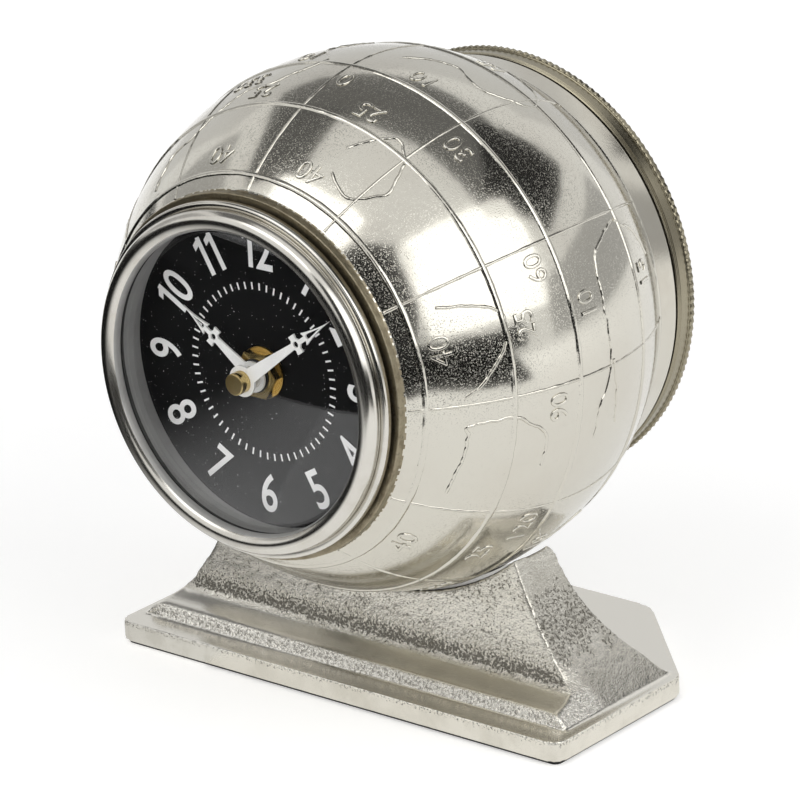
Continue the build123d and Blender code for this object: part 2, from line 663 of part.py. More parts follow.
def rear_cover_parts():
    """Coin-edged cover with a spigot inside the globe's collar, and the gasket under its shoulder."""
    spigot_radius = collar_radius - collar_wall - cover_spigot_clearance
    spigot_inner = spigot_radius - cover_spigot_wall
    band_front = -rear_rim_offset - cover_gasket_thickness
    spigot_front = -rear_rim_offset + cover_spigot_length
    rim_front = band_front - cover_band_length
    rear_face = rim_front - cover_rim_length
    disc_front = rear_face + cover_disc_thickness
    cover = turned(Polyline((0, rear_face), (collar_radius, rear_face), (collar_radius, band_front),
                            (spigot_radius, band_front), (spigot_radius, spigot_front),
                            (spigot_inner, spigot_front), (spigot_inner, disc_front), (0, disc_front),
                            close=True))
    coin_edge = notched_disc(collar_radius + cover_rim_overhang, cover_rim_notches, cover_notch_depth)
    cover += Pos(0, 0, rear_face) * extrude(coin_edge, cover_rim_length)
    gasket_inner = spigot_radius + slip_fit
    gasket = ring(gasket_inner + cover_gasket_width, gasket_inner, band_front, cover_gasket_thickness)
    return {"rear_cover": cover, "cover_gasket": gasket}


pieces = {"base_casting": base_casting(), "base_felt": base_felt(), "globe_shell": globe_shell()}
pieces.update(fixing_parts())
for group in (dial_parts(), motion_work(), movement_parts(), hand_parts(), rear_cover_parts()):
    for name, shape in group.items():
        pieces[name] = clock_frame * shape

os.makedirs("parts", exist_ok=True)
for name, shape in pieces.items():
    export_step(shape, f"parts/{name}.step")
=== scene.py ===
"""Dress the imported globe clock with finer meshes, finishes, a studio and a camera, in the part's frame."""

import json
import logging
import math
from abc import ABC, abstractmethod
from dataclasses import dataclass
from enum import Enum
from functools import cache
from typing import Callable, Sequence

import bmesh
import bpy
import numpy as np
from mathutils import Matrix, Vector, noise


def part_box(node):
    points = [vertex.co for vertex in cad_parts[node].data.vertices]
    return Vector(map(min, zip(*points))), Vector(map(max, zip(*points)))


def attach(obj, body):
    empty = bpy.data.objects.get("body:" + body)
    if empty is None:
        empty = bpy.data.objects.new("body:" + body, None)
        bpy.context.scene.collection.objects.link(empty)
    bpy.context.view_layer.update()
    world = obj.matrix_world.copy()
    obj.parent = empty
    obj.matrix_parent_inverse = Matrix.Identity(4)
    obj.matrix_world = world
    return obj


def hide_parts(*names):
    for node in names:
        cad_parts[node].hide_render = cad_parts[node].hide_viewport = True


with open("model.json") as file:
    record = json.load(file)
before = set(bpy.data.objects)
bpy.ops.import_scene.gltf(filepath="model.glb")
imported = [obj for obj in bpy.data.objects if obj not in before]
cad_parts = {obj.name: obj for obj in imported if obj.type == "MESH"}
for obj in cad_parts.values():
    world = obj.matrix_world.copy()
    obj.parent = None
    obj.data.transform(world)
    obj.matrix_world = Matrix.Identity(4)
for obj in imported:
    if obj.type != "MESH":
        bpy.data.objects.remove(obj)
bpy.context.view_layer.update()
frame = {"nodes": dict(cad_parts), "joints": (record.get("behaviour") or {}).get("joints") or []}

log = logging.getLogger("globe_clock")

MM = 0.001
MERGE_PIECE = 1e-8
MERGE_FIGURE = 1e-5
FIGURE_STEPS = 6
BOX_FACES = [(3, 2, 1, 0), (4, 5, 6, 7), (0, 1, 5, 4), (1, 2, 6, 5), (2, 3, 7, 6), (3, 0, 4, 7)]

Pair = tuple[float, float]
Triple = tuple[float, float, float]
Colour = Triple
Layers = tuple[float, float, int]
Mesh = tuple[np.ndarray, list[tuple[int, ...]]]


class Body(Enum):
    """The bodies that pieces ride on."""

    STAND = "stand"
    COVER = "rear_cover"


class Slot(Enum):
    """The record's material slots; no piece here is given one."""

    PLINTH = "plinth_metal"
    GLOBE = "globe_metal"
    COVER = "cover_metal"
    BEZEL = "bezel_chrome"
    GLASS = "clear_glass"
    PRINT = "hand_white"


class GlyphTop(Enum):
    """Which way the top of a dial figure points."""

    OUTWARD = 1
    INWARD = -1


@dataclass(frozen=True)
class Span:
    """Where a round CAD node lies on the clock axis, in millimetres."""

    front: float
    rear: float
    radius: float


@dataclass(frozen=True)
class ClockAxis:
    """The dial's axis: offsets run to the viewer, angles run clockwise from twelve."""

    height: float

    def place(self, radius: np.ndarray, angle: np.ndarray, offset: np.ndarray) -> np.ndarray:
        """Turn cylindrical places into points of the row frame.

        Args:
            radius: Distances from the axis in millimetres.
            angle: Clock angles in radians.
            offset: Offsets along the axis in millimetres.

        Returns:
            Points in metres, one in each row.
        """
        radius, angle, offset = np.broadcast_arrays(radius, angle, offset)
        across = radius * np.sin(angle)
        up = radius * np.cos(angle) + self.height
        return np.stack((across, -offset, up), axis=-1) * MM

    def globe_direction(self, longitude: np.ndarray, polar: np.ndarray) -> np.ndarray:
        """Give unit directions from the globe's centre.

        Args:
            longitude: Clock angles in degrees.
            polar: Angles from the dial's axis in degrees.

        Returns:
            Unit vectors of the row frame, one in each row.
        """
        lon, pol = np.radians(longitude), np.radians(polar)
        return np.stack((np.sin(pol) * np.sin(lon), -np.cos(pol), np.sin(pol) * np.cos(lon)), axis=-1)

    def centre(self) -> np.ndarray:
        """The globe's centre in metres."""
        return np.array((0.0, 0.0, self.height * MM))

    def span(self, node: str) -> Span:
        """Read a round node's reach along and away from the axis.

        Args:
            node: The CAD node's name.

        Returns:
            Its front and rear offsets and its radius.
        """
        low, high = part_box(node)
        return Span(-low.y / MM, -high.y / MM, high.x / MM)


class Graph:
    """Short calls that add and join nodes in one node tree."""

    def __init__(self, tree: bpy.types.NodeTree) -> None:
        """Keep the tree that nodes are added to."""
        self.tree = tree

    def find(self, kind: str) -> bpy.types.Node:
        """Give the tree's first node of a type."""
        return next(node for node in self.tree.nodes if node.type == kind)

    def feed(self, socket: bpy.types.NodeSocket, value: object) -> None:
        """Join a socket to an output, or set its plain value.

        Args:
            socket: The input socket.
            value: An output socket or a plain value.
        """
        if isinstance(value, bpy.types.NodeSocket):
            self.tree.links.new(value, socket)
        else:
            socket.default_value = value

    def add(self, kind: str, inputs: dict[object, object] | None = None,
            **settings: object) -> bpy.types.Node:
        """Add a node.

        Args:
            kind: The node's type name.
            inputs: Values or output sockets for its inputs, by name or number.
            settings: Attributes to set on the node.

        Returns:
            The new node.
        """
        node = self.tree.nodes.new(kind)
        for name, value in settings.items():
            setattr(node, name, value)
        for key, value in (inputs or {}).items():
            self.feed(node.inputs[key], value)
        return node

    def place(self) -> bpy.types.NodeSocket:
        """Add the place in the object's own coordinates."""
        return self.add("ShaderNodeTexCoord").outputs["Object"]

    def split(self, vector: object) -> bpy.types.Node:
        """Add a node that gives a vector's X, Y and Z."""
        return self.add("ShaderNodeSeparateXYZ", {0: vector})

    def math(self, operation: str, first: object, second: object = 0.0) -> bpy.types.NodeSocket:
        """Add a math node and give its output."""
        return self.add("ShaderNodeMath", {0: first, 1: second}, operation=operation).outputs[0]

    def times(self, first: object, second: object) -> bpy.types.NodeSocket:
        """Multiply two values."""
        return self.math("MULTIPLY", first, second)

    def ramp(self, value: object, low: float, high: float, start: float = 0.0,
             end: float = 1.0) -> bpy.types.NodeSocket:
        """Remap a value smoothly from one range to another.

        Args:
            value: The value to remap.
            low: Where the old range starts.
            high: Where the old range ends.
            start: The result at low.
            end: The result at high.

        Returns:
            The remapped value's socket.
        """
        inputs = {"Value": value, "From Min": low, "From Max": high, "To Min": start, "To Max": end}
        node = self.add("ShaderNodeMapRange", inputs, interpolation_type="SMOOTHSTEP")
        return node.outputs["Result"]

    def blend(self, factor: object, first: object, second: object) -> bpy.types.NodeSocket:
        """Mix two colours; the factor is the share of the second."""
        return self.add("ShaderNodeMix", {0: factor, 6: first, 7: second}, data_type="RGBA").outputs[2]

    def mix(self, factor: object, first: object, second: object) -> bpy.types.NodeSocket:
        """Mix two plain values; the factor is the share of the second."""
        return self.add("ShaderNodeMix", {0: factor, 2: first, 3: second}, data_type="FLOAT").outputs[0]

    def noise(self, vector: object, scale: object, detail: float,
              rough: float = 0.55) -> bpy.types.NodeSocket:
        """Add a noise texture.

        Args:
            vector: The place it is read at.
            scale: Features in a metre.
            detail: How many finer layers it has.
            rough: How strong the finer layers are.

        Returns:
            The noise value's socket.
        """
        inputs = {"Vector": vector, "Scale": scale, "Detail": detail, "Roughness": rough}
        return self.add("ShaderNodeTexNoise", inputs).outputs[0]

    def bump(self, height: object, depth: float, under: object = None) -> bpy.types.NodeSocket:
        """Turn a height into a normal.

        Args:
            height: The height, from 0 to 1.
            depth: The height's full range in metres.
            under: A normal that the height is laid over, if there is one.

        Returns:
            The normal's socket.
        """
        inputs = {"Strength": 1.0, "Distance": depth, "Height": height}
        if under is not None:
            inputs["Normal"] = under
        return self.add("ShaderNodeBump", inputs).outputs["Normal"]

    def group(self, tree: bpy.types.NodeTree, **inputs: object) -> bpy.types.Node:
        """Place a node group with its own values.

        Args:
            tree: The group's tree.
            inputs: Values for its inputs, with underscores for spaces.

        Returns:
            The group node.
        """
        node = self.add("ShaderNodeGroup", node_tree=tree)
        for name, value in inputs.items():
            self.feed(node.inputs[name.replace("_", " ")], value)
        return node


def new_material(name: str) -> tuple[bpy.types.Material, Graph]:
    """Make a material that has nodes.

    Args:
        name: The material's name.

    Returns:
        The material and its graph.
    """
    material = bpy.data.materials.new(name)
    material.use_nodes = True
    return material, Graph(material.node_tree)


def opaque(colour: Colour) -> tuple[float, ...]:
    """A colour with its alpha."""
    return (*colour, 1.0)


class Effects:
    """Surface effects that several finishes share, each a node group that is built once."""

    PIT_LEVEL: Pair = (0.44, 0.30)
    PATCH_LEVEL: Pair = (0.40, 0.66)
    BAND_SCALE: float = 420.0

    @staticmethod
    def start(name: str, inputs: dict[str, object],
              outputs: Sequence[str]) -> tuple[Graph, bpy.types.Node, bpy.types.Node]:
        """Begin a node group.

        Args:
            name: The group's name.
            inputs: Its inputs' names and defaults; four numbers make a colour and three a vector.
            outputs: Its outputs' names; one that ends in colour is a colour.

        Returns:
            The group's graph, its input node and its output node.
        """
        tree = bpy.data.node_groups.new(name, "ShaderNodeTree")
        for label, default in inputs.items():
            size = len(default) if isinstance(default, tuple) else 1
            kind = {1: "NodeSocketFloat", 3: "NodeSocketVector", 4: "NodeSocketColor"}[size]
            socket = tree.interface.new_socket(label, in_out="INPUT", socket_type=kind)
            socket.default_value = default
        for label in outputs:
            kind = "NodeSocketColor" if label.endswith("Colour") else "NodeSocketFloat"
            tree.interface.new_socket(label, in_out="OUTPUT", socket_type=kind)
        graph = Graph(tree)
        return graph, graph.add("NodeGroupInput"), graph.add("NodeGroupOutput")

    @staticmethod
    @cache
    def cast_grain() -> bpy.types.NodeTree:
        """Sand-cast skin: fine grain, broader lumps and scattered pits.

        Returns:
            The group, with a height and a pit mask.
        """
        graph, given, result = Effects.start(
            "cast_grain", {"Grain": 900.0, "Lump": 240.0, "Lump Share": 0.4, "Flat": 0.0}, ("Height", "Pits"))
        place = graph.place()
        grain = graph.noise(place, given.outputs["Grain"], detail=2.5, rough=0.6)
        lump = graph.noise(place, given.outputs["Lump"], detail=4.0, rough=0.6)
        bumps = graph.mix(given.outputs["Lump Share"], grain, lump)
        graph.feed(result.inputs["Height"], graph.math("MAXIMUM", bumps, given.outputs["Flat"]))
        graph.feed(result.inputs["Pits"], graph.ramp(lump, *Effects.PIT_LEVEL))
        return graph.tree

    @staticmethod
    @cache
    def dull_patches() -> bpy.types.NodeTree:
        """Uneven polish: soft patches where the metal is duller.

        Returns:
            The group, with a colour and the patches' mask.
        """
        graph, given, result = Effects.start(
            "dull_patches", {"Scale": 60.0, "Bright": (0.8, 0.8, 0.8, 1.0), "Dull": (0.6, 0.6, 0.6, 1.0)},
            ("Mixed Colour", "Amount"))
        patch = graph.noise(graph.place(), given.outputs["Scale"], detail=5.0, rough=0.62)
        amount = graph.ramp(patch, *Effects.PATCH_LEVEL)
        mixed = graph.blend(amount, given.outputs["Bright"], given.outputs["Dull"])
        graph.feed(result.inputs["Mixed Colour"], mixed)
        graph.feed(result.inputs["Amount"], amount)
        return graph.tree

    @staticmethod
    @cache
    def drawn_lines() -> bpy.types.NodeTree:
        """Brushed metal: long fine scratches that run one way.

        Returns:
            The group, with a height.
        """
        graph, given, result = Effects.start(
            "drawn_lines", {"Stretch": (40.0, 1800.0, 1800.0)}, ("Height",))
        drawn = graph.add("ShaderNodeVectorMath", {0: graph.place(), 1: given.outputs["Stretch"]},
                          operation="MULTIPLY")
        graph.feed(result.inputs["Height"], graph.noise(drawn.outputs[0], 1.0, detail=2.0))
        return graph.tree

    @staticmethod
    @cache
    def turned_lines() -> bpy.types.NodeTree:
        """Lathe marks: fine rings about the clock axis.

        Returns:
            The group, with a height and a broad band value.
        """
        graph, given, result = Effects.start(
            "turned_lines", {"Axis Height": 0.09, "Lines": 5000.0}, ("Height", "Bands"))
        part = graph.split(graph.place())
        up = graph.math("SUBTRACT", part.outputs["Z"], given.outputs["Axis Height"])
        squares = graph.math("ADD", graph.math("POWER", part.outputs["X"], 2.0), graph.math("POWER", up, 2.0))
        radius = graph.math("POWER", squares, 0.5)
        ring = graph.add("ShaderNodeCombineXYZ", {0: radius, 1: part.outputs["Y"]}).outputs[0]
        graph.feed(result.inputs["Height"], graph.noise(ring, given.outputs["Lines"], detail=2.0))
        graph.feed(result.inputs["Bands"], graph.noise(ring, Effects.BAND_SCALE, detail=3.0))
        return graph.tree

    @staticmethod
    @cache
    def specks() -> bpy.types.NodeTree:
        """Tiny scattered specks of dust or flake.

        Returns:
            The group, with a mask.
        """
        graph, given, result = Effects.start(
            "specks", {"Cells": 1400.0, "Size": 0.12, "Share": 0.3}, ("Mask",))
        cells = graph.add("ShaderNodeTexVoronoi", {"Vector": graph.place(), "Scale": given.outputs["Cells"]})
        near = graph.math("LESS_THAN", cells.outputs["Distance"], given.outputs["Size"])
        tint = graph.add("ShaderNodeSeparateColor", {0: cells.outputs["Color"]}).outputs[0]
        chosen = graph.math("LESS_THAN", tint, given.outputs["Share"])
        graph.feed(result.inputs["Mask"], graph.times(near, chosen))
        return graph.tree


@dataclass(frozen=True)
class Finish(ABC):
    """A surface finish: its colour, gloss and the way its material is dressed."""

    name: str
    colour: Colour
    roughness: float
    metallic: float = 0.0

    def material(self) -> bpy.types.Material:
        """Make the finish's material, or give the one that was made before.

        Returns:
            The material.
        """
        if self.name in bpy.data.materials:
            return bpy.data.materials[self.name]
        material, graph = new_material(self.name)
        shader = graph.find("BSDF_PRINCIPLED")
        for key, value in (("Base Color", opaque(self.colour)), ("Roughness", self.roughness),
                           ("Metallic", self.metallic)):
            graph.feed(shader.inputs[key], value)
        self.dress(graph, shader)
        return material

    @abstractmethod
    def dress(self, graph: Graph, shader: bpy.types.Node) -> None:
        """Add the finish's own nodes."""

    def patches(self, graph: Graph, scale: float, dull: Colour) -> bpy.types.Node:
        """Add patches of a duller colour on the finish's own."""
        return graph.group(Effects.dull_patches(), Scale=scale, Bright=opaque(self.colour), Dull=opaque(dull))

    def bump(self, graph: Graph, shader: bpy.types.Node, source: bpy.types.Node, depth: float) -> None:
        """Drive the shader's normal from a group's height, whose full range in metres is the depth."""
        graph.feed(shader.inputs["Normal"], graph.bump(source.outputs["Height"], depth))


@dataclass(frozen=True)
class CastFinish(Finish):
    """Cast and plated metal with grain, uneven polish and dark residue in its pits."""

    dull: Colour = (0.5, 0.48, 0.44)
    residue: Colour = (0.12, 0.10, 0.08)
    grain: float = 900.0
    lump: float = 240.0
    lump_share: float = 0.4
    depth: float = 0.00005
    dull_roughness: float = 0.3
    residue_share: float = 0.3
    patch: float = 60.0
    flat: float = 0.0

    def skin(self, graph: Graph) -> bpy.types.Node:
        """Add the cast grain with the finish's own sizes."""
        return graph.group(Effects.cast_grain(), Grain=self.grain, Lump=self.lump,
                           Lump_Share=self.lump_share, Flat=self.flat)

    def dress(self, graph: Graph, shader: bpy.types.Node) -> None:
        """Add grain, dull patches and residue.

        Args:
            graph: The material's graph.
            shader: The shader.
        """
        grain = self.skin(graph)
        patch = self.patches(graph, self.patch, self.dull)
        soil = graph.times(grain.outputs["Pits"], self.residue_share)
        tone = graph.blend(soil, patch.outputs["Mixed Colour"], opaque(self.residue))
        graph.feed(shader.inputs["Base Color"], tone)
        gloss = graph.ramp(patch.outputs["Amount"], 0.0, 1.0, self.roughness, self.dull_roughness)
        graph.feed(shader.inputs["Roughness"], gloss)
        self.bump(graph, shader, grain, self.depth)


@dataclass(frozen=True)
class PlinthZones:
    """Sockets that tell the plinth's faces apart: its height, its normal and masks."""

    height: bpy.types.NodeSocket
    upward: bpy.types.NodeSocket
    sideways: bpy.types.NodeSocket
    ledge: bpy.types.NodeSocket
    front: bpy.types.NodeSocket
    above: bpy.types.NodeSocket
    wall: bpy.types.NodeSocket


@dataclass(frozen=True)
class PlinthFinish(CastFinish):
    """Plinth metal: brushed ledges, cast walls with dark pits, and a painted shadow of the globe on the
    saddle.

    Heights, depths and fades are in metres. A fade that is a pair is counted from the plate's top, and the
    front's from the middle. A shift moves the level below which the mottling is a pit, so that a larger one
    makes more pits.
    """

    ledge_tone: Colour = (0.80, 0.775, 0.71)
    ledge_slope: Pair = (0.7, 0.93)
    ledge_grain: float = 0.18
    brush: Triple = (60.0, 1500.0, 1500.0)
    brush_depth: float = 0.000012
    front_fade: Pair = (-0.002, -0.006)
    plate_top: float = 0.006
    plate_fade: Pair = (-0.0012, 0.0004)
    plate_share: float = 0.6
    mottle: float = 1500.0
    pit_level: Pair = (0.41, 0.355)
    pit_share: float = 0.45
    patch_shift: float = 0.045
    foot_start: float = 0.0114
    foot_low: float = 0.0128
    foot_high: float = 0.0185
    band_shift: float = 0.16
    end_slope: Pair = (0.4, 0.7)
    end_shift: float = 0.085
    end_plain: float = -0.06
    end_sway: float = 0.006
    end_low: float = 0.016
    end_low_fade: float = 0.005
    end_high: float = 0.037
    end_high_fade: float = 0.006
    edge_top: float = -0.0002
    edge_fade: Pair = (-0.0025, -0.0008)
    edge_plain: float = -0.2
    edge_shift: float = 0.05
    step_fade: float = 0.001
    bright_fade: Pair = (-0.0006, -0.0002)
    riser_slope: Pair = (0.85, 0.6)
    # The globe's painted shadow on the saddle: the slope and height where it starts, its fade and its
    # strength.
    saddle_slope: Pair = (0.45, 0.65)
    saddle_low: float = 0.02
    saddle_fade: float = 0.002
    saddle_share: float = 0.6
    sparkle: float = 1450.0
    sparkle_depth: float = 0.00034
    sparkle_low: float = 0.016
    sparkle_high: float = 0.021
    sparkle_fade: Pair = (0.0002, 0.0008)
    glint_level: Pair = (0.49, 0.40)
    glint_share: float = 0.5

    def dress(self, graph: Graph, shader: bpy.types.Node) -> None:
        """Add the tones, the gloss and the relief of ledges and walls, and the painted shadow on the saddle.

        Args:
            graph: The material's graph.
            shader: The shader.
        """
        zones = self.zones(graph)
        patch = self.patches(graph, self.patch, self.dull)
        fine = graph.noise(graph.place(), self.mottle, detail=4.0, rough=0.68)
        coarse = graph.noise(graph.place(), self.sparkle, detail=2.5, rough=0.6)
        level = graph.math("SUBTRACT", fine, self.shift(graph, zones, patch.outputs["Amount"]))
        soil = graph.times(graph.ramp(level, *self.pit_level, 0.0, self.residue_share), zones.wall)
        tone = self.tone(graph, zones, graph.blend(soil, patch.outputs["Mixed Colour"], opaque(self.residue)),
                         coarse)
        graph.feed(shader.inputs["Base Color"], tone)
        gloss = graph.ramp(soil, 0.0, 1.0, self.roughness, self.dull_roughness)
        graph.feed(shader.inputs["Roughness"], gloss)
        graph.feed(shader.inputs["Normal"], self.relief(graph, zones, soil, coarse))

    def near_plate(self, graph: Graph, height: object, fade: Pair,
                   start: float = 0.0) -> bpy.types.NodeSocket:
        """Add a ramp up to 1 between two heights that are counted from the plate's top."""
        return graph.ramp(height, self.plate_top + fade[0], self.plate_top + fade[1], start, 1.0)

    def zones(self, graph: Graph) -> PlinthZones:
        """Add the masks of the plinth's faces.

        Args:
            graph: The material's graph.

        Returns:
            The height, the normal and the masks.
        """
        place = graph.split(graph.place()).outputs
        normal = graph.split(graph.add("ShaderNodeNewGeometry").outputs["True Normal"]).outputs
        ledge = graph.ramp(normal["Z"], *self.ledge_slope)
        front = graph.ramp(place["Y"], *self.front_fade)
        above = self.near_plate(graph, place["Z"], self.plate_fade, self.plate_share)
        wall = graph.times(graph.math("SUBTRACT", 1.0, ledge), above)
        return PlinthZones(place["Z"], normal["Z"], normal["X"], ledge, front, above, wall)

    def shift(self, graph: Graph, zones: PlinthZones, dullness: object) -> bpy.types.NodeSocket:
        """Add the pits' shift: high at the front wall's foot, in the ends' middle and at the plate's edge.

        Args:
            graph: The material's graph.
            zones: The plinth's zones.
            dullness: The dull patches' mask.

        Returns:
            The shift's socket.
        """
        foot = graph.times(graph.ramp(zones.height, self.foot_high, self.foot_low),
                           graph.ramp(zones.height, self.foot_start, self.foot_low))
        band = graph.times(graph.times(foot, zones.front), self.band_shift)
        walls = graph.math("MAXIMUM", band, graph.times(dullness, self.patch_shift))
        worn = graph.math("ADD", graph.times(dullness, self.end_sway), zones.height)
        middle = graph.times(graph.ramp(worn, self.end_low, self.end_low + self.end_low_fade),
                             graph.ramp(worn, self.end_high, self.end_high - self.end_high_fade))
        pitted = graph.ramp(middle, 0.0, 1.0, self.end_plain, self.end_shift)
        end = graph.ramp(graph.math("ABSOLUTE", zones.sideways), *self.end_slope)
        low, high = self.edge_fade
        edge = graph.ramp(zones.height, self.plate_top + low, self.plate_top + high, self.edge_plain,
                          self.edge_shift)
        under = graph.math("LESS_THAN", zones.height, self.plate_top + self.edge_top)
        return graph.mix(under, graph.mix(end, walls, pitted), edge)

    def tone(self, graph: Graph, zones: PlinthZones, walls: object, coarse: object) -> bpy.types.NodeSocket:
        """Add the tone: bright ledges, a step that is partly painted highlight with painted dark glints, and
        a painted shadow on the saddle.

        Args:
            graph: The material's graph.
            zones: The plinth's zones.
            walls: The cast walls' tone.
            coarse: The noise that the glints follow.

        Returns:
            The tone's socket.
        """
        # The residue colour here also paints shade: the dark glints on the step and the globe's shadow on the
        # saddle.
        residue = opaque(self.residue)
        # The front step takes the brushed ledges' light tone, which partly stands for a painted highlight on
        # its face.
        step = graph.times(graph.ramp(zones.height, self.foot_start, self.foot_start - self.step_fade),
                           zones.above)
        bright = graph.times(graph.math("MAXIMUM", zones.ledge, graph.times(step, zones.front)),
                             self.near_plate(graph, zones.height, self.bright_fade))
        # Painted glints: dark flecks in the step's colour, painted as the shaded grains of its sparkle.
        glints = graph.times(graph.ramp(coarse, *self.glint_level, 0.0, self.glint_share),
                             graph.ramp(zones.upward, *self.riser_slope))
        polished = graph.blend(glints, opaque(self.ledge_tone), residue)
        # Painted shadow: the saddle under the globe is blended towards the dark residue colour, as the
        # globe's shade on it.
        high = graph.ramp(zones.height, self.saddle_low, self.saddle_low + self.saddle_fade, 0.0,
                          self.saddle_share)
        saddle = graph.times(graph.ramp(zones.upward, *self.saddle_slope), high)
        return graph.blend(saddle, graph.blend(bright, walls, polished), residue)

    def relief(self, graph: Graph, zones: PlinthZones, soil: object, coarse: object) -> bpy.types.NodeSocket:
        """Add the relief: cast grain and sunk pits, a sparkling step and brushed ledges.

        Args:
            graph: The material's graph.
            zones: The plinth's zones.
            soil: The pits' mask.
            coarse: The noise that the sparkle follows.

        Returns:
            The normal's socket.
        """
        grain = graph.times(self.skin(graph).outputs["Height"],
                            graph.ramp(zones.wall, 0.0, 1.0, self.ledge_grain, 1.0))
        sunk = graph.math("SUBTRACT", grain, graph.times(soil, self.pit_share))
        cast = graph.bump(sunk, self.depth)
        low = graph.times(graph.ramp(zones.height, self.sparkle_high, self.sparkle_low),
                          self.near_plate(graph, zones.height, self.sparkle_fade))
        zone = graph.times(graph.times(low, zones.front), graph.math("SUBTRACT", 1.0, zones.ledge))
        sparkling = graph.bump(graph.times(coarse, zone), self.sparkle_depth, cast)
        lines = graph.group(Effects.drawn_lines(), Stretch=self.brush)
        return graph.bump(graph.times(lines.outputs["Height"], zones.ledge), self.brush_depth, sparkling)


@dataclass(frozen=True)
class TurnedFinish(Finish):
    """Metal that was turned and polished on a lathe about the clock axis."""

    axis_height: float = 0.09
    lines: float = 5000.0
    depth: float = 0.000004
    dull: Colour = (0.6, 0.58, 0.54)
    patch: float = 90.0
    band_level: Pair = (0.35, 0.65)
    band_roughness: float = 0.2

    def dress(self, graph: Graph, shader: bpy.types.Node) -> None:
        """Add lathe rings and uneven polish.

        Args:
            graph: The material's graph.
            shader: The shader.
        """
        rings = graph.group(Effects.turned_lines(), Axis_Height=self.axis_height, Lines=self.lines)
        patch = self.patches(graph, self.patch, self.dull)
        graph.feed(shader.inputs["Base Color"], patch.outputs["Mixed Colour"])
        gloss = graph.ramp(rings.outputs["Bands"], *self.band_level, self.roughness, self.band_roughness)
        graph.feed(shader.inputs["Roughness"], gloss)
        self.bump(graph, shader, rings, self.depth)


@dataclass(frozen=True)
class MouldedFinish(Finish):
    """Moulded plastic, rubber or paint: a fine skin and a slight change of tone."""

    tone_shift: float = 0.12
    gloss_shift: float = 0.1
    skin: float = 2200.0
    lump: float = 350.0
    lump_share: float = 0.25
    patch: float = 140.0
    depth: float = 0.00001
    sheen: float = 0.0

    def dress(self, graph: Graph, shader: bpy.types.Node) -> None:
        """Add the skin and the change of tone.

        Args:
            graph: The material's graph.
            shader: The shader.
        """
        skin = graph.group(Effects.cast_grain(), Grain=self.skin, Lump=self.lump, Lump_Share=self.lump_share)
        patch = self.patches(graph, self.patch, tuple(c * (1.0 - self.tone_shift) for c in self.colour))
        graph.feed(shader.inputs["Base Color"], patch.outputs["Mixed Colour"])
        duller = min(1.0, self.roughness + self.gloss_shift)
        gloss = graph.ramp(patch.outputs["Amount"], 0.0, 1.0, self.roughness, duller)
        graph.feed(shader.inputs["Roughness"], gloss)
        shader.inputs["Sheen Weight"].default_value = self.sheen
        self.bump(graph, shader, skin, self.depth)


@dataclass(frozen=True)
class Specks:
    """How specks are strewn: cells in a metre, a speck's size in its cell and the share of cells with one."""

    cells: float
    size: float
    share: float

    def mask(self, graph: Graph) -> bpy.types.NodeSocket:
        """Add the specks' mask."""
        group = graph.group(Effects.specks(), Cells=self.cells, Size=self.size, Share=self.share)
        return group.outputs["Mask"]


@dataclass(frozen=True)
class DialFinish(Finish):
    """Black dial paint with a few pale specks."""

    speck: Colour = (0.5, 0.5, 0.5)
    fine: Specks = Specks(1500.0, 0.13, 0.22)
    coarse: Specks = Specks(620.0, 0.085, 0.2)
    specular: float = 0.1
    skin: float = 2600.0
    lump: float = 500.0
    lump_share: float = 0.3
    depth: float = 0.000012

    def dress(self, graph: Graph, shader: bpy.types.Node) -> None:
        """Add specks and a fine skin.

        Args:
            graph: The material's graph.
            shader: The shader.
        """
        mask = graph.math("MAXIMUM", self.fine.mask(graph), self.coarse.mask(graph))
        graph.feed(shader.inputs["Base Color"], graph.blend(mask, opaque(self.colour), opaque(self.speck)))
        shader.inputs["Specular IOR Level"].default_value = self.specular
        skin = graph.group(Effects.cast_grain(), Grain=self.skin, Lump=self.lump, Lump_Share=self.lump_share)
        self.bump(graph, shader, skin, self.depth)


@dataclass(frozen=True)
class GlassFinish(Finish):
    """Clear glass that lets lamp light through to the dial."""

    index: float = 1.45
    smear: float = 45.0
    smear_roughness: float = 0.01

    def dress(self, graph: Graph, shader: bpy.types.Node) -> None:
        """Make the shader clear and leave shadow rays unblocked.

        Args:
            graph: The material's graph.
            shader: The shader.
        """
        shader.inputs["Transmission Weight"].default_value = 1.0
        shader.inputs["IOR"].default_value = self.index
        smear = graph.group(Effects.dull_patches(), Scale=self.smear)
        smeared = self.roughness + self.smear_roughness
        gloss = graph.ramp(smear.outputs["Amount"], 0.0, 1.0, self.roughness, smeared)
        graph.feed(shader.inputs["Roughness"], gloss)
        path = graph.add("ShaderNodeLightPath")
        clear = graph.add("ShaderNodeBsdfTransparent")
        mix = graph.add("ShaderNodeMixShader", {0: path.outputs["Is Shadow Ray"], 1: shader.outputs[0],
                                                2: clear.outputs[0]})
        graph.feed(graph.find("OUTPUT_MATERIAL").inputs["Surface"], mix.outputs[0])


@dataclass(frozen=True)
class SleeveFinish(Finish):
    """A cell's printed sleeve: plain dark with a paler band at its positive end."""

    band: Colour = (0.6, 0.42, 0.2)
    band_start: float = 0.012
    band_fade: float = 0.0002
    stretch: Triple = (30.0, 900.0, 900.0)
    depth: float = 0.000004

    def dress(self, graph: Graph, shader: bpy.types.Node) -> None:
        """Add the band by its place along the cell.

        Args:
            graph: The material's graph.
            shader: The shader.
        """
        along = graph.split(graph.place()).outputs["X"]
        share = graph.ramp(along, self.band_start, self.band_start + self.band_fade)
        graph.feed(shader.inputs["Base Color"], graph.blend(share, opaque(self.colour), opaque(self.band)))
        self.bump(graph, shader, graph.group(Effects.drawn_lines(), Stretch=self.stretch), self.depth)


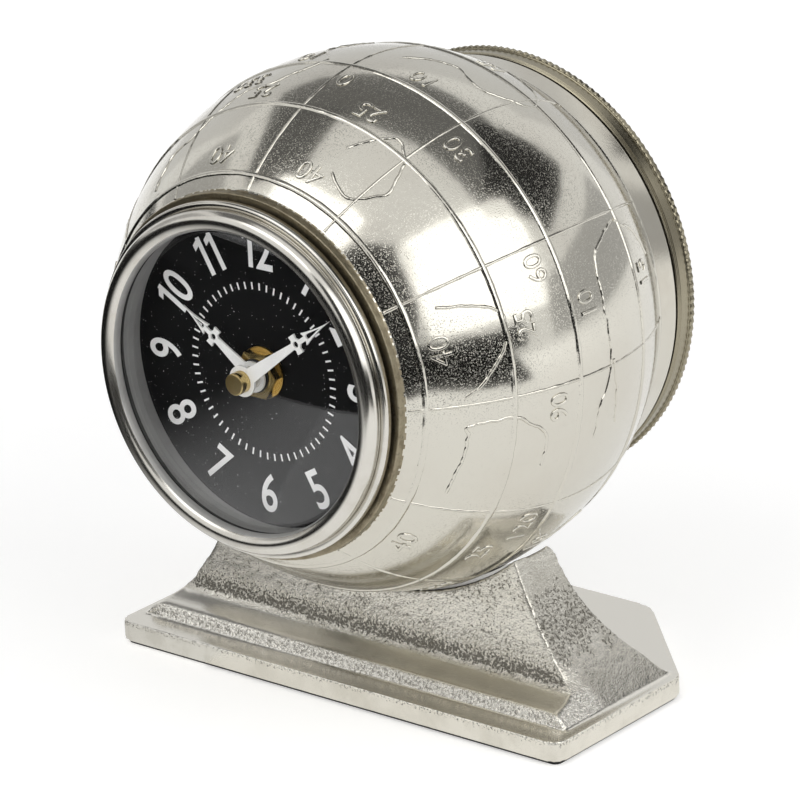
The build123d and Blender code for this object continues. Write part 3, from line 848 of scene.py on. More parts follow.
@dataclass(frozen=True)
class Finishes:
    """Every finish on the clock."""

    globe: CastFinish = CastFinish(
        "cast_nickel", (0.60, 0.58, 0.515), 0.12, 1.0, dull=(0.58, 0.555, 0.49), residue=(0.16, 0.13, 0.10),
        grain=2900.0, lump=700.0, lump_share=0.05, depth=0.00011, dull_roughness=0.14, residue_share=0.03,
        patch=30.0, flat=0.565)
    rim: CastFinish = CastFinish(
        "raw_rim", (0.33, 0.29, 0.205), 0.40, 1.0, dull=(0.235, 0.2, 0.135), residue=(0.06, 0.05, 0.035),
        grain=1500.0, lump=800.0, lump_share=0.4, depth=0.00016, dull_roughness=0.5, residue_share=0.5,
        patch=400.0)
    collar: CastFinish = CastFinish(
        "plain_collar", (0.58, 0.555, 0.485), 0.16, 1.0, dull=(0.54, 0.51, 0.44), residue=(0.12, 0.10, 0.07),
        grain=2600.0, lump=520.0, lump_share=0.1, depth=0.00002, dull_roughness=0.2, residue_share=0.05)
    satin: TurnedFinish = TurnedFinish(
        "satin_lip", (0.46, 0.455, 0.44), 0.5, 0.5, dull=(0.40, 0.395, 0.38), band_roughness=0.6)
    plinth: PlinthFinish = PlinthFinish(
        "cast_plinth", (0.70, 0.675, 0.605), 0.22, 1.0, dull=(0.62, 0.595, 0.525), residue=(0.10, 0.09, 0.07),
        grain=2200.0, lump=900.0, lump_share=0.35, depth=0.00018, dull_roughness=0.34, residue_share=0.8,
        patch=110.0)
    cover: TurnedFinish = TurnedFinish(
        "turned_cover", (0.31, 0.281, 0.205), 0.2, 1.0, dull=(0.288, 0.26, 0.189), depth=0.000009,
        band_roughness=0.28)
    bezel: TurnedFinish = TurnedFinish(
        "polished_bezel", (0.63, 0.61, 0.56), 0.15, 1.0, dull=(0.57, 0.545, 0.49), band_roughness=0.24)
    glass: GlassFinish = GlassFinish("clear_dome", (1.0, 1.0, 1.0), 0.0)
    dial: DialFinish = DialFinish("dial_paint", (0.007, 0.007, 0.0075), 0.62)
    printed: MouldedFinish = MouldedFinish(
        "dial_print", (0.9, 0.9, 0.89), 0.55, tone_shift=0.04, depth=0.000004)
    hands: MouldedFinish = MouldedFinish(
        "hand_paint", (0.84, 0.84, 0.82), 0.42, tone_shift=0.06, depth=0.000006)
    brass: TurnedFinish = TurnedFinish(
        "turned_brass", (0.66, 0.51, 0.235), 0.22, 1.0, dull=(0.55, 0.41, 0.17), band_roughness=0.34)
    steel: CastFinish = CastFinish(
        "zinc_steel", (0.66, 0.66, 0.66), 0.28, 1.0, dull=(0.5, 0.5, 0.5), grain=2400.0, depth=0.000012)
    contact: CastFinish = CastFinish(
        "contact_nickel", (0.76, 0.75, 0.72), 0.2, 1.0, dull=(0.62, 0.61, 0.58), grain=2400.0, depth=0.000006)
    case: MouldedFinish = MouldedFinish("case_paint", (0.045, 0.043, 0.04), 0.45, metallic=0.3, depth=0.00002)
    rubber: MouldedFinish = MouldedFinish("black_rubber", (0.025, 0.025, 0.025), 0.7, tone_shift=0.2)
    spacer: MouldedFinish = MouldedFinish("grey_spacer", (0.36, 0.36, 0.35), 0.5, tone_shift=0.1)
    black_plastic: MouldedFinish = MouldedFinish("black_moulding", (0.03, 0.03, 0.031), 0.45, depth=0.00002)
    ivory_plastic: MouldedFinish = MouldedFinish("ivory_moulding", (0.74, 0.72, 0.66), 0.4)
    board: MouldedFinish = MouldedFinish("board_lacquer", (0.03, 0.16, 0.06), 0.3, tone_shift=0.3)
    felt: MouldedFinish = MouldedFinish("pressed_felt", (0.02, 0.02, 0.022), 0.95, skin=3200.0, depth=0.0002,
                                        tone_shift=0.35, sheen=0.3)
    sleeve: SleeveFinish = SleeveFinish("cell_sleeve_print", (0.06, 0.06, 0.065), 0.3, 0.4)


FINISHES = Finishes()


def smooth_arc(centre: Pair, radius: float, start: float, end: float,
               steps: int) -> list[Pair]:
    """Points on an arc of a turned profile.

    Args:
        centre: The arc's centre as radius and offset.
        radius: The arc's radius.
        start: The first angle in degrees, from the outward direction towards the front.
        end: The last angle.
        steps: How many spans the arc has.

    Returns:
        The arc's points.
    """
    angles = np.radians(np.linspace(start, end, steps + 1))
    return [(centre[0] + radius * math.cos(a), centre[1] + radius * math.sin(a)) for a in angles]


def rounded(profile: Sequence[Triple], steps: int = 4) -> list[Pair]:
    """Round the corners of a closed profile.

    Args:
        profile: Corners as radius, offset and rounding, in millimetres.
        steps: Spans in each rounded corner.

    Returns:
        The profile's points.
    """
    points: list[Pair] = []
    count = len(profile)
    for index, (radius, offset, size) in enumerate(profile):
        corner = np.array((radius, offset))
        if size <= 0.0:
            points.append((radius, offset))
            continue
        before = np.array(profile[index - 1][:2]) - corner
        after = np.array(profile[(index + 1) % count][:2]) - corner
        start = corner + before / np.linalg.norm(before) * size
        end = corner + after / np.linalg.norm(after) * size
        for t in np.linspace(0.0, 1.0, steps + 1):
            x, y = (1 - t) ** 2 * start + 2 * t * (1 - t) * corner + t**2 * end
            points.append((float(x), float(y)))
    return points


def lathe(axis: ClockAxis, profile: Sequence[Pair], segments: int,
          notches: int = 0, depths: Sequence[float] | None = None) -> Mesh:
    """Sweep a closed profile about the clock axis.

    Args:
        axis: The clock axis.
        profile: The closed profile's points as radius and offset in millimetres.
        segments: Steps round the axis.
        notches: V notches round the edge.
        depths: How deep the notches are at each profile point.

    Returns:
        The vertices and faces.
    """
    radius, offset = np.array(profile, float).T
    angle = np.linspace(0.0, 2.0 * math.pi, segments, endpoint=False)
    wave = 1.0 - np.abs(2.0 * np.mod(angle * notches / (2.0 * math.pi), 1.0) - 1.0)
    depth = np.array(depths if depths is not None else np.zeros(len(radius)))
    grid = axis.place(radius[:, None] - depth[:, None] * wave[None, :], angle[None, :], offset[:, None])
    rows, columns = len(radius), segments
    faces = []
    for row in range(rows):
        below = (row + 1) % rows
        for column in range(columns):
            beside = (column + 1) % columns
            faces.append((row * columns + column, row * columns + beside, below * columns + beside,
                          below * columns + column))
    return grid.reshape(-1, 3), faces


def join(meshes: Sequence[Mesh]) -> Mesh:
    """Put several meshes in one.

    Args:
        meshes: The meshes.

    Returns:
        One mesh that holds them all.
    """
    points, faces, start = [], [], 0
    for vertices, polygons in meshes:
        points.append(np.asarray(vertices))
        faces.extend(tuple(i + start for i in polygon) for polygon in polygons)
        start += len(vertices)
    return np.concatenate(points), faces


def add_piece(name: str, mesh: Mesh, finish: Finish, body: Body, replaced: Sequence[str] = (),
              crease: float = 35.0) -> bpy.types.Object:
    """Make a piece, dress it and let it ride on its body.

    Args:
        name: The piece's name.
        mesh: Its vertices in metres and its faces.
        finish: Its finish.
        body: The body it rides on.
        replaced: CAD nodes that it stands for.
        crease: Edges sharper than this many degrees stay sharp.

    Returns:
        The new object.
    """
    data = bpy.data.meshes.new(name)
    data.from_pydata([tuple(p) for p in np.asarray(mesh[0]).tolist()], [], mesh[1])
    work = bmesh.new()
    work.from_mesh(data)
    bmesh.ops.remove_doubles(work, verts=work.verts, dist=MERGE_PIECE)
    bmesh.ops.recalc_face_normals(work, faces=work.faces)
    work.to_mesh(data)
    work.free()
    return dress_piece(name, data, finish, body, replaced, crease)


def dress_piece(name: str, data: bpy.types.Mesh, finish: Finish, body: Body,
                replaced: Sequence[str], crease: float) -> bpy.types.Object:
    """Give a finished mesh its object, finish and body.

    Args:
        name: The piece's name.
        data: The mesh.
        finish: Its finish.
        body: The body it rides on.
        replaced: CAD nodes that it stands for.
        crease: Edges sharper than this many degrees stay sharp.

    Returns:
        The new object.
    """
    data.materials.clear()
    data.materials.append(finish.material())
    data.shade_smooth()
    data.set_sharp_from_angle(angle=math.radians(crease))
    piece = bpy.data.objects.new(name, data)
    bpy.context.scene.collection.objects.link(piece)
    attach(piece, body.value)
    if replaced:
        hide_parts(*replaced)
    log.info("%s: %d faces", name, len(data.polygons))
    return piece


def glyph(text: str, weight: float, bevel: float = 0.0) -> Mesh:
    """A figure as a thin closed solid about its own middle.

    Args:
        text: The figure.
        weight: How much its strokes are thickened, in em.
        bevel: How far its edges are rounded, in em.

    Returns:
        Its mesh, one em tall font units, with its thickness from 0 to 1 along the third axis.
    """
    curve = bpy.data.curves.new("figure", "FONT")
    curve.body = text
    curve.offset = weight
    curve.extrude = 0.5
    curve.bevel_depth = bevel
    curve.resolution_u = FIGURE_STEPS
    holder = bpy.data.objects.new("figure", curve)
    bpy.context.scene.collection.objects.link(holder)
    data = bpy.data.meshes.new_from_object(holder.evaluated_get(bpy.context.evaluated_depsgraph_get()))
    work = bmesh.new()
    work.from_mesh(data)
    bmesh.ops.remove_doubles(work, verts=work.verts, dist=MERGE_FIGURE)
    work.verts.index_update()
    points = np.array([tuple(v.co) for v in work.verts])
    faces = [tuple(v.index for v in f.verts) for f in work.faces]
    work.free()
    bpy.data.objects.remove(holder)
    bpy.data.curves.remove(curve)
    bpy.data.meshes.remove(data)
    low, high = points.min(0), points.max(0)
    points[:, :2] -= (low[:2] + high[:2]) / 2.0
    points[:, 2] += 0.5
    return points, faces


@dataclass
class Globe:
    """The cast globe: its skin, the raised graticule, figures and coast lines; lengths are in millimetres."""

    axis: ClockAxis
    relief: float = 0.45
    wall: float = 3.5
    segments: int = 480
    outside_steps: int = 220
    inside_steps: int = 90
    skin_crease: float = 50.0
    ridge_crease: float = 80.0
    lip_length: float = 1.6
    lip_round: float = 0.35
    lip_gap: float = 0.25
    lip_fret: float = 0.09
    fret_below: float = 0.4
    fret_within: float = 0.6
    fret_back: float = 0.5
    fret_scale: float = 1300.0
    fret_layers: Layers = (0.7, 2.0, 3)
    fray: float = 0.12
    fray_sway: float = 0.2
    fray_scale: float = 1500.0
    raw_slack: float = 0.1
    bore_radius: float = 41.205
    ledge_radius: float = 39.205
    ledge_depth: float = 5.7
    ledge_thickness: float = 3.0
    ledge_round: float = 0.2
    collar_radius: float = 53.0
    collar_wall: float = 3.5
    collar_gap: float = 0.4
    collar_ease: tuple[Pair, ...] = ((0.12, 0.35), (0.0, 0.8))
    collar_round: float = 0.4
    collar_bore_round: float = 0.3
    collar_slack: float = 0.15
    foot_height: float = 25.0
    parallels: tuple[float, ...] = (47.0, 65.8, 82.4, 106.5, 123.3)
    parallel_values: tuple[int, ...] = (40, 25, 10, 15, 30)
    parallel_width: float = 1.8
    parallel_height: float = 0.40
    parallel_steps: int = 720
    parallel_uneven: Pair = (22.0, 0.8)
    meridian_step: int = 30
    bare_meridian: int = 180
    meridian_width: float = 0.95
    meridian_height: float = 0.27
    meridian_steps: int = 260
    meridian_gaps: Pair = (0.5, 0.3)
    meridian_uneven: Pair = (26.0, 0.6)
    coast_width: float = 0.95
    coast_height: float = 0.34
    coast_thin: float = 0.6
    coast_step: float = 0.4
    coast_uneven: Pair = (60.0, 0.45)
    uneven_gain: float = 0.8
    wander_seed: int = 4
    wander_size: float = 0.012
    wander_scale: float = 11.0
    wander_layers: int = 3
    ridge_rows: int = 9
    ridge_foot: float = 0.8
    ridge_sink: float = 0.045
    ridge_root: float = 0.25
    figure_height: float = 5.2
    figure_rise: float = 0.32
    figure_sink: float = 0.2
    figure_weight: float = -0.022
    figure_bevel: float = 0.036
    figure_gap: float = 1.6
    meridian_figure: float = 76.6
    parallel_figures: tuple[float, ...] = (15.0, 75.0, 135.0, 225.0, 285.0, 345.0)
    parallel_figure_gap: float = 4.6
    wave: float = 0.025
    wave_reach: float = 1.0
    wave_scale: float = 9.0
    wave_layers: Layers = (0.6, 2.0, 3)

    def __post_init__(self) -> None:
        """Read the globe's radius and reach from the frame."""
        low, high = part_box("globe_shell")
        self.radius = high.z / MM - self.axis.height
        self.skin = self.radius - self.relief
        self.lip_offset = -low.y / MM
        self.rim_offset = self.lip_offset - self.lip_length
        self.lip_radius = math.sqrt(self.radius**2 - self.rim_offset**2)
        self.rear_offset = high.y / MM

    def build(self) -> None:
        """Build every piece of the globe."""
        finish, body, slot = FINISHES.globe, Body.STAND, Slot.GLOBE
        skin = add_piece("globe_skin", self.casting(), finish, body, ("globe_shell",), self.skin_crease)
        self.dress_rim(skin.data)
        add_piece("globe_figures", self.figures(), finish, body)
        add_piece("globe_graticule", self.graticule(), finish, body, crease=self.ridge_crease)
        add_piece("globe_coasts", self.coasts(), finish, body, crease=self.ridge_crease)

    def dress_rim(self, data: bpy.types.Mesh) -> None:
        """Give the unpolished front lip and bore, and the turned rear collar, their own finishes.

        Args:
            data: The globe's mesh.
        """
        data.materials.append(FINISHES.rim.material())
        data.materials.append(FINISHES.collar.material())
        raw_end = self.rim_offset - self.ledge_depth - self.raw_slack
        collar_start, collar_edge = self.rim_offset - self.radius, self.collar_radius + self.collar_slack
        for polygon in data.polygons:
            middle = polygon.center
            from_axis = math.hypot(middle.x, middle.z - self.axis.height * MM) / MM
            offset = -middle.y / MM
            fray = self.fray + self.fray_sway * noise.noise(middle * self.fray_scale)
            if offset > raw_end and from_axis < self.lip_radius + fray:
                polygon.material_index = 1
            elif offset < collar_start and from_axis < collar_edge:
                polygon.material_index = 2

    def figures(self) -> Mesh:
        """Plain raised degree figures beside the meridians and under the parallels.

        Returns:
            One mesh of closed raised figures.
        """
        places = [(lon, lon + self.figure_gap, self.meridian_figure, True)
                  for lon in range(0, 360, self.meridian_step) if lon != self.bare_meridian]
        for lon in self.parallel_figures:
            places += [(value, lon, polar + self.parallel_figure_gap, False)
                       for value, polar in zip(self.parallel_values[:-1], self.parallels[:-1])]
        meshes = []
        for value, lon, polar, beside in places:
            points, faces = glyph(str(value), self.figure_weight, self.figure_bevel)
            scale = self.figure_height / np.ptp(points[:, 1])
            out = self.axis.globe_direction(np.array([lon]), np.array([polar]))[0]
            towards = self.axis.globe_direction(np.array([lon]), np.array([polar - 1.0]))[0] - out
            up = towards / np.linalg.norm(towards)
            across = np.cross(up, out)
            start = points[:, 0].max() if beside else 0.0
            flat = out + np.outer((points[:, 0] - start) * scale / self.skin, across)
            flat += np.outer(points[:, 1] * scale / self.skin, up)
            flat /= np.linalg.norm(flat, axis=1)[:, None]
            rise = np.where(points[:, 2] > 0.5, (points[:, 2] - 1.0) / self.figure_bevel * self.figure_rise,
                            points[:, 2] - self.figure_sink)
            meshes.append((self.axis.centre() + flat * (self.skin + rise)[:, None] * MM, faces))
        return join(meshes)

    def casting(self) -> Mesh:
        """The hollow casting with its front bore, ledge and rear collar.

        Returns:
            The closed mesh, with a slight waviness on its outside.
        """
        inner = self.radius - self.wall
        front_angle = math.degrees(math.asin(self.lip_radius / self.skin))
        collar_angle = 180.0 - math.degrees(math.asin(self.collar_radius / self.skin))
        ledge = self.rim_offset - self.ledge_depth
        ledge_back = ledge - self.ledge_thickness
        bore = self.collar_radius - self.collar_wall
        outside = [(self.skin * math.sin(a), self.skin * math.cos(a))
                   for a in np.radians(np.linspace(front_angle + self.lip_gap, collar_angle - self.collar_gap,
                                                   self.outside_steps))]
        collar = [(self.collar_radius + out, outside[-1][1] - back) for out, back in self.collar_ease]
        edge = rounded([(self.collar_radius, outside[-1][1], 0.0),
                        (self.collar_radius, -self.rear_offset, self.collar_round),
                        (bore, -self.rear_offset, self.collar_bore_round), (bore, outside[-1][1], 0.0)])[1:-1]
        first = math.degrees(math.asin(bore / inner))
        last = math.degrees(math.acos(ledge_back / inner))
        inside = [(inner * math.sin(a), -inner * math.cos(a))
                  for a in np.radians(np.linspace(first, 180.0 - last, self.inside_steps))]
        front = rounded([(self.ledge_radius, -10.0, 0.0), (self.ledge_radius, ledge_back, self.ledge_round),
                         (self.ledge_radius, ledge, self.ledge_round), (self.bore_radius, ledge, 0.0),
                         (self.bore_radius, self.lip_offset, self.lip_round),
                         (self.lip_radius, self.lip_offset, self.lip_round),
                         (self.lip_radius, self.rim_offset, 0.0)])[1:-1]
        foot = outside[0][1]
        side = [(self.lip_radius, offset) for offset in np.linspace(self.lip_offset - 0.7, foot + 0.3, 5)]
        points, faces = lathe(self.axis, outside + collar + edge + inside + front + side, self.segments)
        self.fret(points)
        centre = self.axis.centre()
        away = points - centre
        distance = np.linalg.norm(away, axis=1)
        outer = distance > (self.radius - self.wave_reach) * MM
        for index in np.nonzero(outer)[0]:
            direction = Vector(away[index] / distance[index])
            swell = noise.fractal(direction * self.wave_scale, *self.wave_layers)
            points[index] -= away[index] / distance[index] * self.wave * MM * (0.5 + 0.5 * swell)
        points[:, 2] = np.where(outer, np.maximum(points[:, 2], self.foot_height * MM), points[:, 2])
        return points, faces

    def fret(self, points: np.ndarray) -> None:
        """Wear the rough lip away unevenly.

        Args:
            points: The casting's vertices in metres, which are changed.
        """
        across = points[:, 0] / MM, points[:, 2] / MM - self.axis.height
        from_axis = np.hypot(*across)
        ahead = -points[:, 1] / MM > self.rim_offset - self.fret_below
        lip = ahead & (from_axis > self.lip_radius - self.fret_within)
        for index in np.nonzero(lip)[0]:
            rough = noise.fractal(Vector(points[index]) * self.fret_scale, *self.fret_layers)
            worn = self.lip_fret * abs(rough)
            shrink = 1.0 - worn / from_axis[index]
            points[index, 0] *= shrink
            points[index, 2] = (self.axis.height + across[1][index] * shrink) * MM
            points[index, 1] += self.fret_back * worn * MM

    def ridge(self, path: np.ndarray, width: np.ndarray, height: np.ndarray, closed: bool) -> Mesh:
        """A soft raised line on the globe.

        Args:
            path: Unit directions along the line.
            width: The line's width at each place, in millimetres.
            height: Its height at each place, in millimetres.
            closed: Whether the line closes on itself.

        Returns:
            The ridge as a closed solid that is sunk a little into the skin.
        """
        count = len(path)
        after = np.roll(path, -1, axis=0)
        before = np.roll(path, 1, axis=0)
        if not closed:
            after[-1], before[0] = path[-1], path[0]
        side = np.cross(path, after - before)
        side /= np.linalg.norm(side, axis=1)[:, None]
        crown = np.linspace(-1.0, 1.0, self.ridge_rows)
        share = np.concatenate((crown, (self.ridge_foot, -self.ridge_foot)))
        rise = np.concatenate((1.0 - np.abs(crown) ** 2.0, (0.0, 0.0)))
        sink = np.concatenate((np.full(self.ridge_rows, self.ridge_sink), (self.ridge_root, self.ridge_root)))
        rows = len(share)
        across = share[None, :] * width[:, None] / 2.0 / self.skin
        away = path[:, None, :] + side[:, None, :] * across[:, :, None]
        away /= np.linalg.norm(away, axis=2)[:, :, None]
        reach = self.skin - sink[None, :] + rise[None, :] * (height[:, None] + self.ridge_sink)
        points = self.axis.centre() + away * reach[:, :, None] * MM
        faces: list[tuple[int, ...]] = []
        for place in range(count if closed else count - 1):
            beyond = (place + 1) % count
            for row in range(rows):
                beside = (row + 1) % rows
                faces.append((place * rows + row, place * rows + beside, beyond * rows + beside,
                              beyond * rows + row))
        if not closed:
            faces.append(tuple(range(rows)))
            faces.append(tuple((count - 1) * rows + row for row in reversed(range(rows))))
        return points.reshape(-1, 3), faces

    def uneven(self, path: np.ndarray, scale: float, low: float) -> np.ndarray:
        """How strongly a cast line stands out along its length.

        Args:
            path: Unit directions along the line.
            scale: How quickly it changes.
            low: The least share of its full size.

        Returns:
            A share from low to 1 at each place.
        """
        values = np.array([noise.noise(Vector(p) * scale) for p in path])
        return low + (1.0 - low) * np.clip(0.5 + self.uneven_gain * values, 0.0, 1.0)

    def graticule(self) -> Mesh:
        """The raised parallels and meridians.

        Returns:
            One mesh of closed ridges.
        """
        lines = []
        for polar in self.parallels:
            lon = np.linspace(0.0, 360.0, self.parallel_steps, endpoint=False)
            path = self.axis.globe_direction(lon, np.full(len(lon), polar))
            share = self.uneven(path, *self.parallel_uneven)
            lines.append(self.ridge(path, self.parallel_width * share, self.parallel_height * share, True))
        start = math.degrees(math.asin(self.lip_radius / self.skin)) + self.meridian_gaps[0]
        end = 180.0 - math.degrees(math.asin(self.collar_radius / self.skin)) - self.meridian_gaps[1]
        for lon in range(0, 360, self.meridian_step):
            if lon == self.bare_meridian:
                continue
            polar = np.linspace(start, end, self.meridian_steps)
            path = self.axis.globe_direction(np.full(len(polar), float(lon)), polar)
            share = self.uneven(path, *self.meridian_uneven)
            lines.append(self.ridge(path, self.meridian_width * share, self.meridian_height * share, False))
        return join(lines)

    def coasts(self) -> Mesh:
        """Raised coast lines, as smooth curves through a few places with a small wander.

        Returns:
            One mesh of closed ridges.
        """
        routes = (
            ((64, 53), (69, 64.5), (74, 66), (78, 65), (85, 60), (88, 55)),
            ((115, 54), (105, 55), (98, 56), (95, 56), (95, 65), (97, 70), (101, 74), (108, 74)),
            ((62, 104), (64, 98), (68, 93), (73, 92), (80, 92), (89, 92), (97, 89), (105, 88)),
            ((89, 93), (96, 94), (104, 95)),
            ((62, 105), (66, 112), (72, 117)),
            ((318, 50), (322, 58), (330, 62), (338, 72), (346, 74), (352, 84), (346, 92), (350, 101)),
            ((300, 48), (296, 60), (286, 66), (280, 78), (288, 88), (282, 98), (270, 104), (262, 116)),
            ((252, 50), (246, 62), (252, 74), (240, 80), (232, 92), (238, 104), (228, 114)),
            ((18, 60), (24, 68), (30, 66), (34, 58), (28, 52), (20, 54)),
            ((6, 92), (14, 98), (24, 96), (32, 104), (28, 112), (16, 116)),
            ((128, 82), (136, 90), (132, 100), (142, 108), (150, 116)),
        )
        noise.seed_set(self.wander_seed)
        lines = []
        for route in routes:
            lon, polar = np.array(route, float).T
            corners = self.axis.globe_direction(lon, polar)
            path = self.wander(self.spline(corners))
            share = self.uneven(path, *self.coast_uneven)
            width = self.coast_width * (self.coast_thin + (1.0 - self.coast_thin) * share)
            lines.append(self.ridge(path, width, self.coast_height * share, False))
        return join(lines)

    def spline(self, corners: np.ndarray) -> np.ndarray:
        """A smooth curve on the globe through a few directions.

        Args:
            corners: Unit directions.

        Returns:
            Unit directions, at most about a coast step apart on the skin.
        """
        padded = np.concatenate((corners[:1] * 2 - corners[1:2], corners, corners[-1:] * 2 - corners[-2:-1]))
        pieces = []
        for first, second, third, fourth in zip(padded, padded[1:], padded[2:], padded[3:]):
            steps = max(4, int(np.linalg.norm(third - second) * self.skin / self.coast_step))
            t = np.linspace(0.0, 1.0, steps, endpoint=False)[:, None]
            pieces.append(0.5 * (2 * second + (third - first) * t
                                 + (2 * first - 5 * second + 4 * third - fourth) * t**2
                                 + (3 * second - first - 3 * third + fourth) * t**3))
        path = np.concatenate(pieces + [corners[-1:]])
        return path / np.linalg.norm(path, axis=1)[:, None]

    def wander(self, path: np.ndarray) -> np.ndarray:
        """Shift a line's places a little, as a drawn coast wanders.

        Args:
            path: Unit directions.

        Returns:
            Shifted unit directions.
        """
        moved = []
        for point in path:
            drift = noise.turbulence_vector(Vector(point) * self.wander_scale, self.wander_layers, False)
            moved.append(Vector(point) + self.wander_size * Vector(drift))
        return np.array(moved) / np.linalg.norm(np.array(moved), axis=1)[:, None]


@dataclass
class Plinth:
    """The stepped plinth casting, with a cast skin on its walls; lengths are in millimetres."""

    voxel: float = 0.5
    smoothing: int = 2
    smooth_share: float = 0.5
    crease: float = 60.0
    roughness: float = 0.15
    ledge_share: float = 0.08
    ledge_start: float = 0.6
    ledge_blend: float = 0.35
    plate_share: float = 0.3
    plate_top: float = 6.0
    plate_lift: float = 0.2
    plate_blend: float = 0.8
    lump_share: float = 0.35
    lump_scale: float = 330.0
    grain_scale: float = 820.0
    grain_layers: Layers = (0.7, 2.1, 2)
    deepest: float = 1.2
    wall_foot: Pair = (-10.0, 11.2)
    wall_ease: float = 4.2
    wall_reach: float = 59.0
    wall_rounds: int = 70
    step_edge: Pair = (-19.0, 9.4)
    step_foot: Pair = (-19.0, 6.0)
    step_ease: float = 3.2
    step_reach: float = 62.5
    edge_rounds: int = 40
    foot_rounds: int = 16
    ease_share: float = 0.5
    run_out: float = 3.0

    def build(self) -> None:
        """Build the plinth's skin from the casting's own shape."""
        source = frame["nodes"]["base_casting"]
        work = bpy.data.objects.new("plinth_work", source.data.copy())
        bpy.context.scene.collection.objects.link(work)
        remesh = work.modifiers.new("even", "REMESH")
        remesh.mode = "VOXEL"
        remesh.voxel_size = self.voxel * MM
        smooth = work.modifiers.new("soften", "SMOOTH")
        smooth.factor = self.smooth_share
        smooth.iterations = self.smoothing
        data = bpy.data.meshes.new_from_object(work.evaluated_get(bpy.context.evaluated_depsgraph_get()))
        bpy.data.objects.remove(work)
        data.name = "plinth_skin"
        self.ease(data, self.wall_foot, self.wall_ease, self.wall_reach, self.wall_rounds)
        self.ease(data, self.step_edge, self.step_ease, self.step_reach, self.edge_rounds)
        self.ease(data, self.step_foot, self.step_ease, self.step_reach, self.foot_rounds)
        self.roughen(data)
        dress_piece("plinth_skin", data, FINISHES.plinth, Body.STAND, ("base_casting",),
                    self.crease)

    def ease(self, data: bpy.types.Mesh, line: Pair, reach: float, end: float, rounds: int) -> None:
        """Round the casting along a line that runs across its front, as a poured corner is.

        Args:
            data: The plinth's mesh.
            line: The line's place behind the front and above the table, in millimetres.
            reach: How far from the line the skin is rounded, in millimetres.
            end: How far from the middle the rounding runs out, in millimetres.
            rounds: How often it is averaged.
        """
        points = np.empty(len(data.vertices) * 3)
        pairs = np.empty(len(data.edges) * 2, dtype=np.int64)
        data.vertices.foreach_get("co", points)
        data.edges.foreach_get("vertices", pairs)
        points, pairs = points.reshape(-1, 3), pairs.reshape(-1, 2)
        far = np.hypot(points[:, 1] / MM - line[0], points[:, 2] / MM - line[1]) / reach
        inward = np.clip((end - np.abs(points[:, 0]) / MM) / self.run_out, 0.0, 1.0)
        weight = np.clip(2.0 - 2.0 * far, 0.0, 1.0) * inward
        pairs = pairs[(weight[pairs] > 0.0).any(axis=1)]
        ends = np.concatenate((pairs[:, 0], pairs[:, 1]))
        others = np.concatenate((pairs[:, 1], pairs[:, 0]))
        count = np.maximum(np.bincount(ends, minlength=len(points)), 1)
        share = self.ease_share * weight[:, None]
        for _ in range(rounds):
            sums = [np.bincount(ends, column, len(points)) for column in points[others].T]
            points += share * (np.stack(sums, axis=-1) / count[:, None] - points)
        data.vertices.foreach_set("co", points.reshape(-1))
        data.update()

    def roughen(self, data: bpy.types.Mesh) -> None:
        """Sink the skin in small uneven dimples, most on the walls and least on the ledges.

        Args:
            data: The plinth's mesh.
        """
        count = len(data.vertices)
        points = np.empty(count * 3)
        normals = np.empty(count * 3)
        data.vertices.foreach_get("co", points)
        data.vertices.foreach_get("normal", normals)
        points, normals = points.reshape(-1, 3), normals.reshape(-1, 3)
        ledge = np.clip((normals[:, 2] - self.ledge_start) / self.ledge_blend, 0.0, 1.0)
        plate = np.clip((self.plate_top + self.plate_lift - points[:, 2] / MM) / self.plate_blend, 0.0, 1.0)
        amount = self.roughness * (1.0 - (1.0 - self.ledge_share) * ledge)
        amount *= 1.0 - (1.0 - self.plate_share) * plate
        bumps = np.array([self.lump_share * noise.noise(Vector(p) * self.lump_scale)
                          + noise.fractal(Vector(p) * self.grain_scale, *self.grain_layers) for p in points])
        depth = amount * np.clip(0.5 + 0.5 * bumps, 0.0, self.deepest)
        points -= normals * (depth * MM)[:, None]
        low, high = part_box("base_casting")
        points = np.clip(points, np.array(low), np.array(high))
        data.vertices.foreach_set("co", points.reshape(-1))
        data.update()


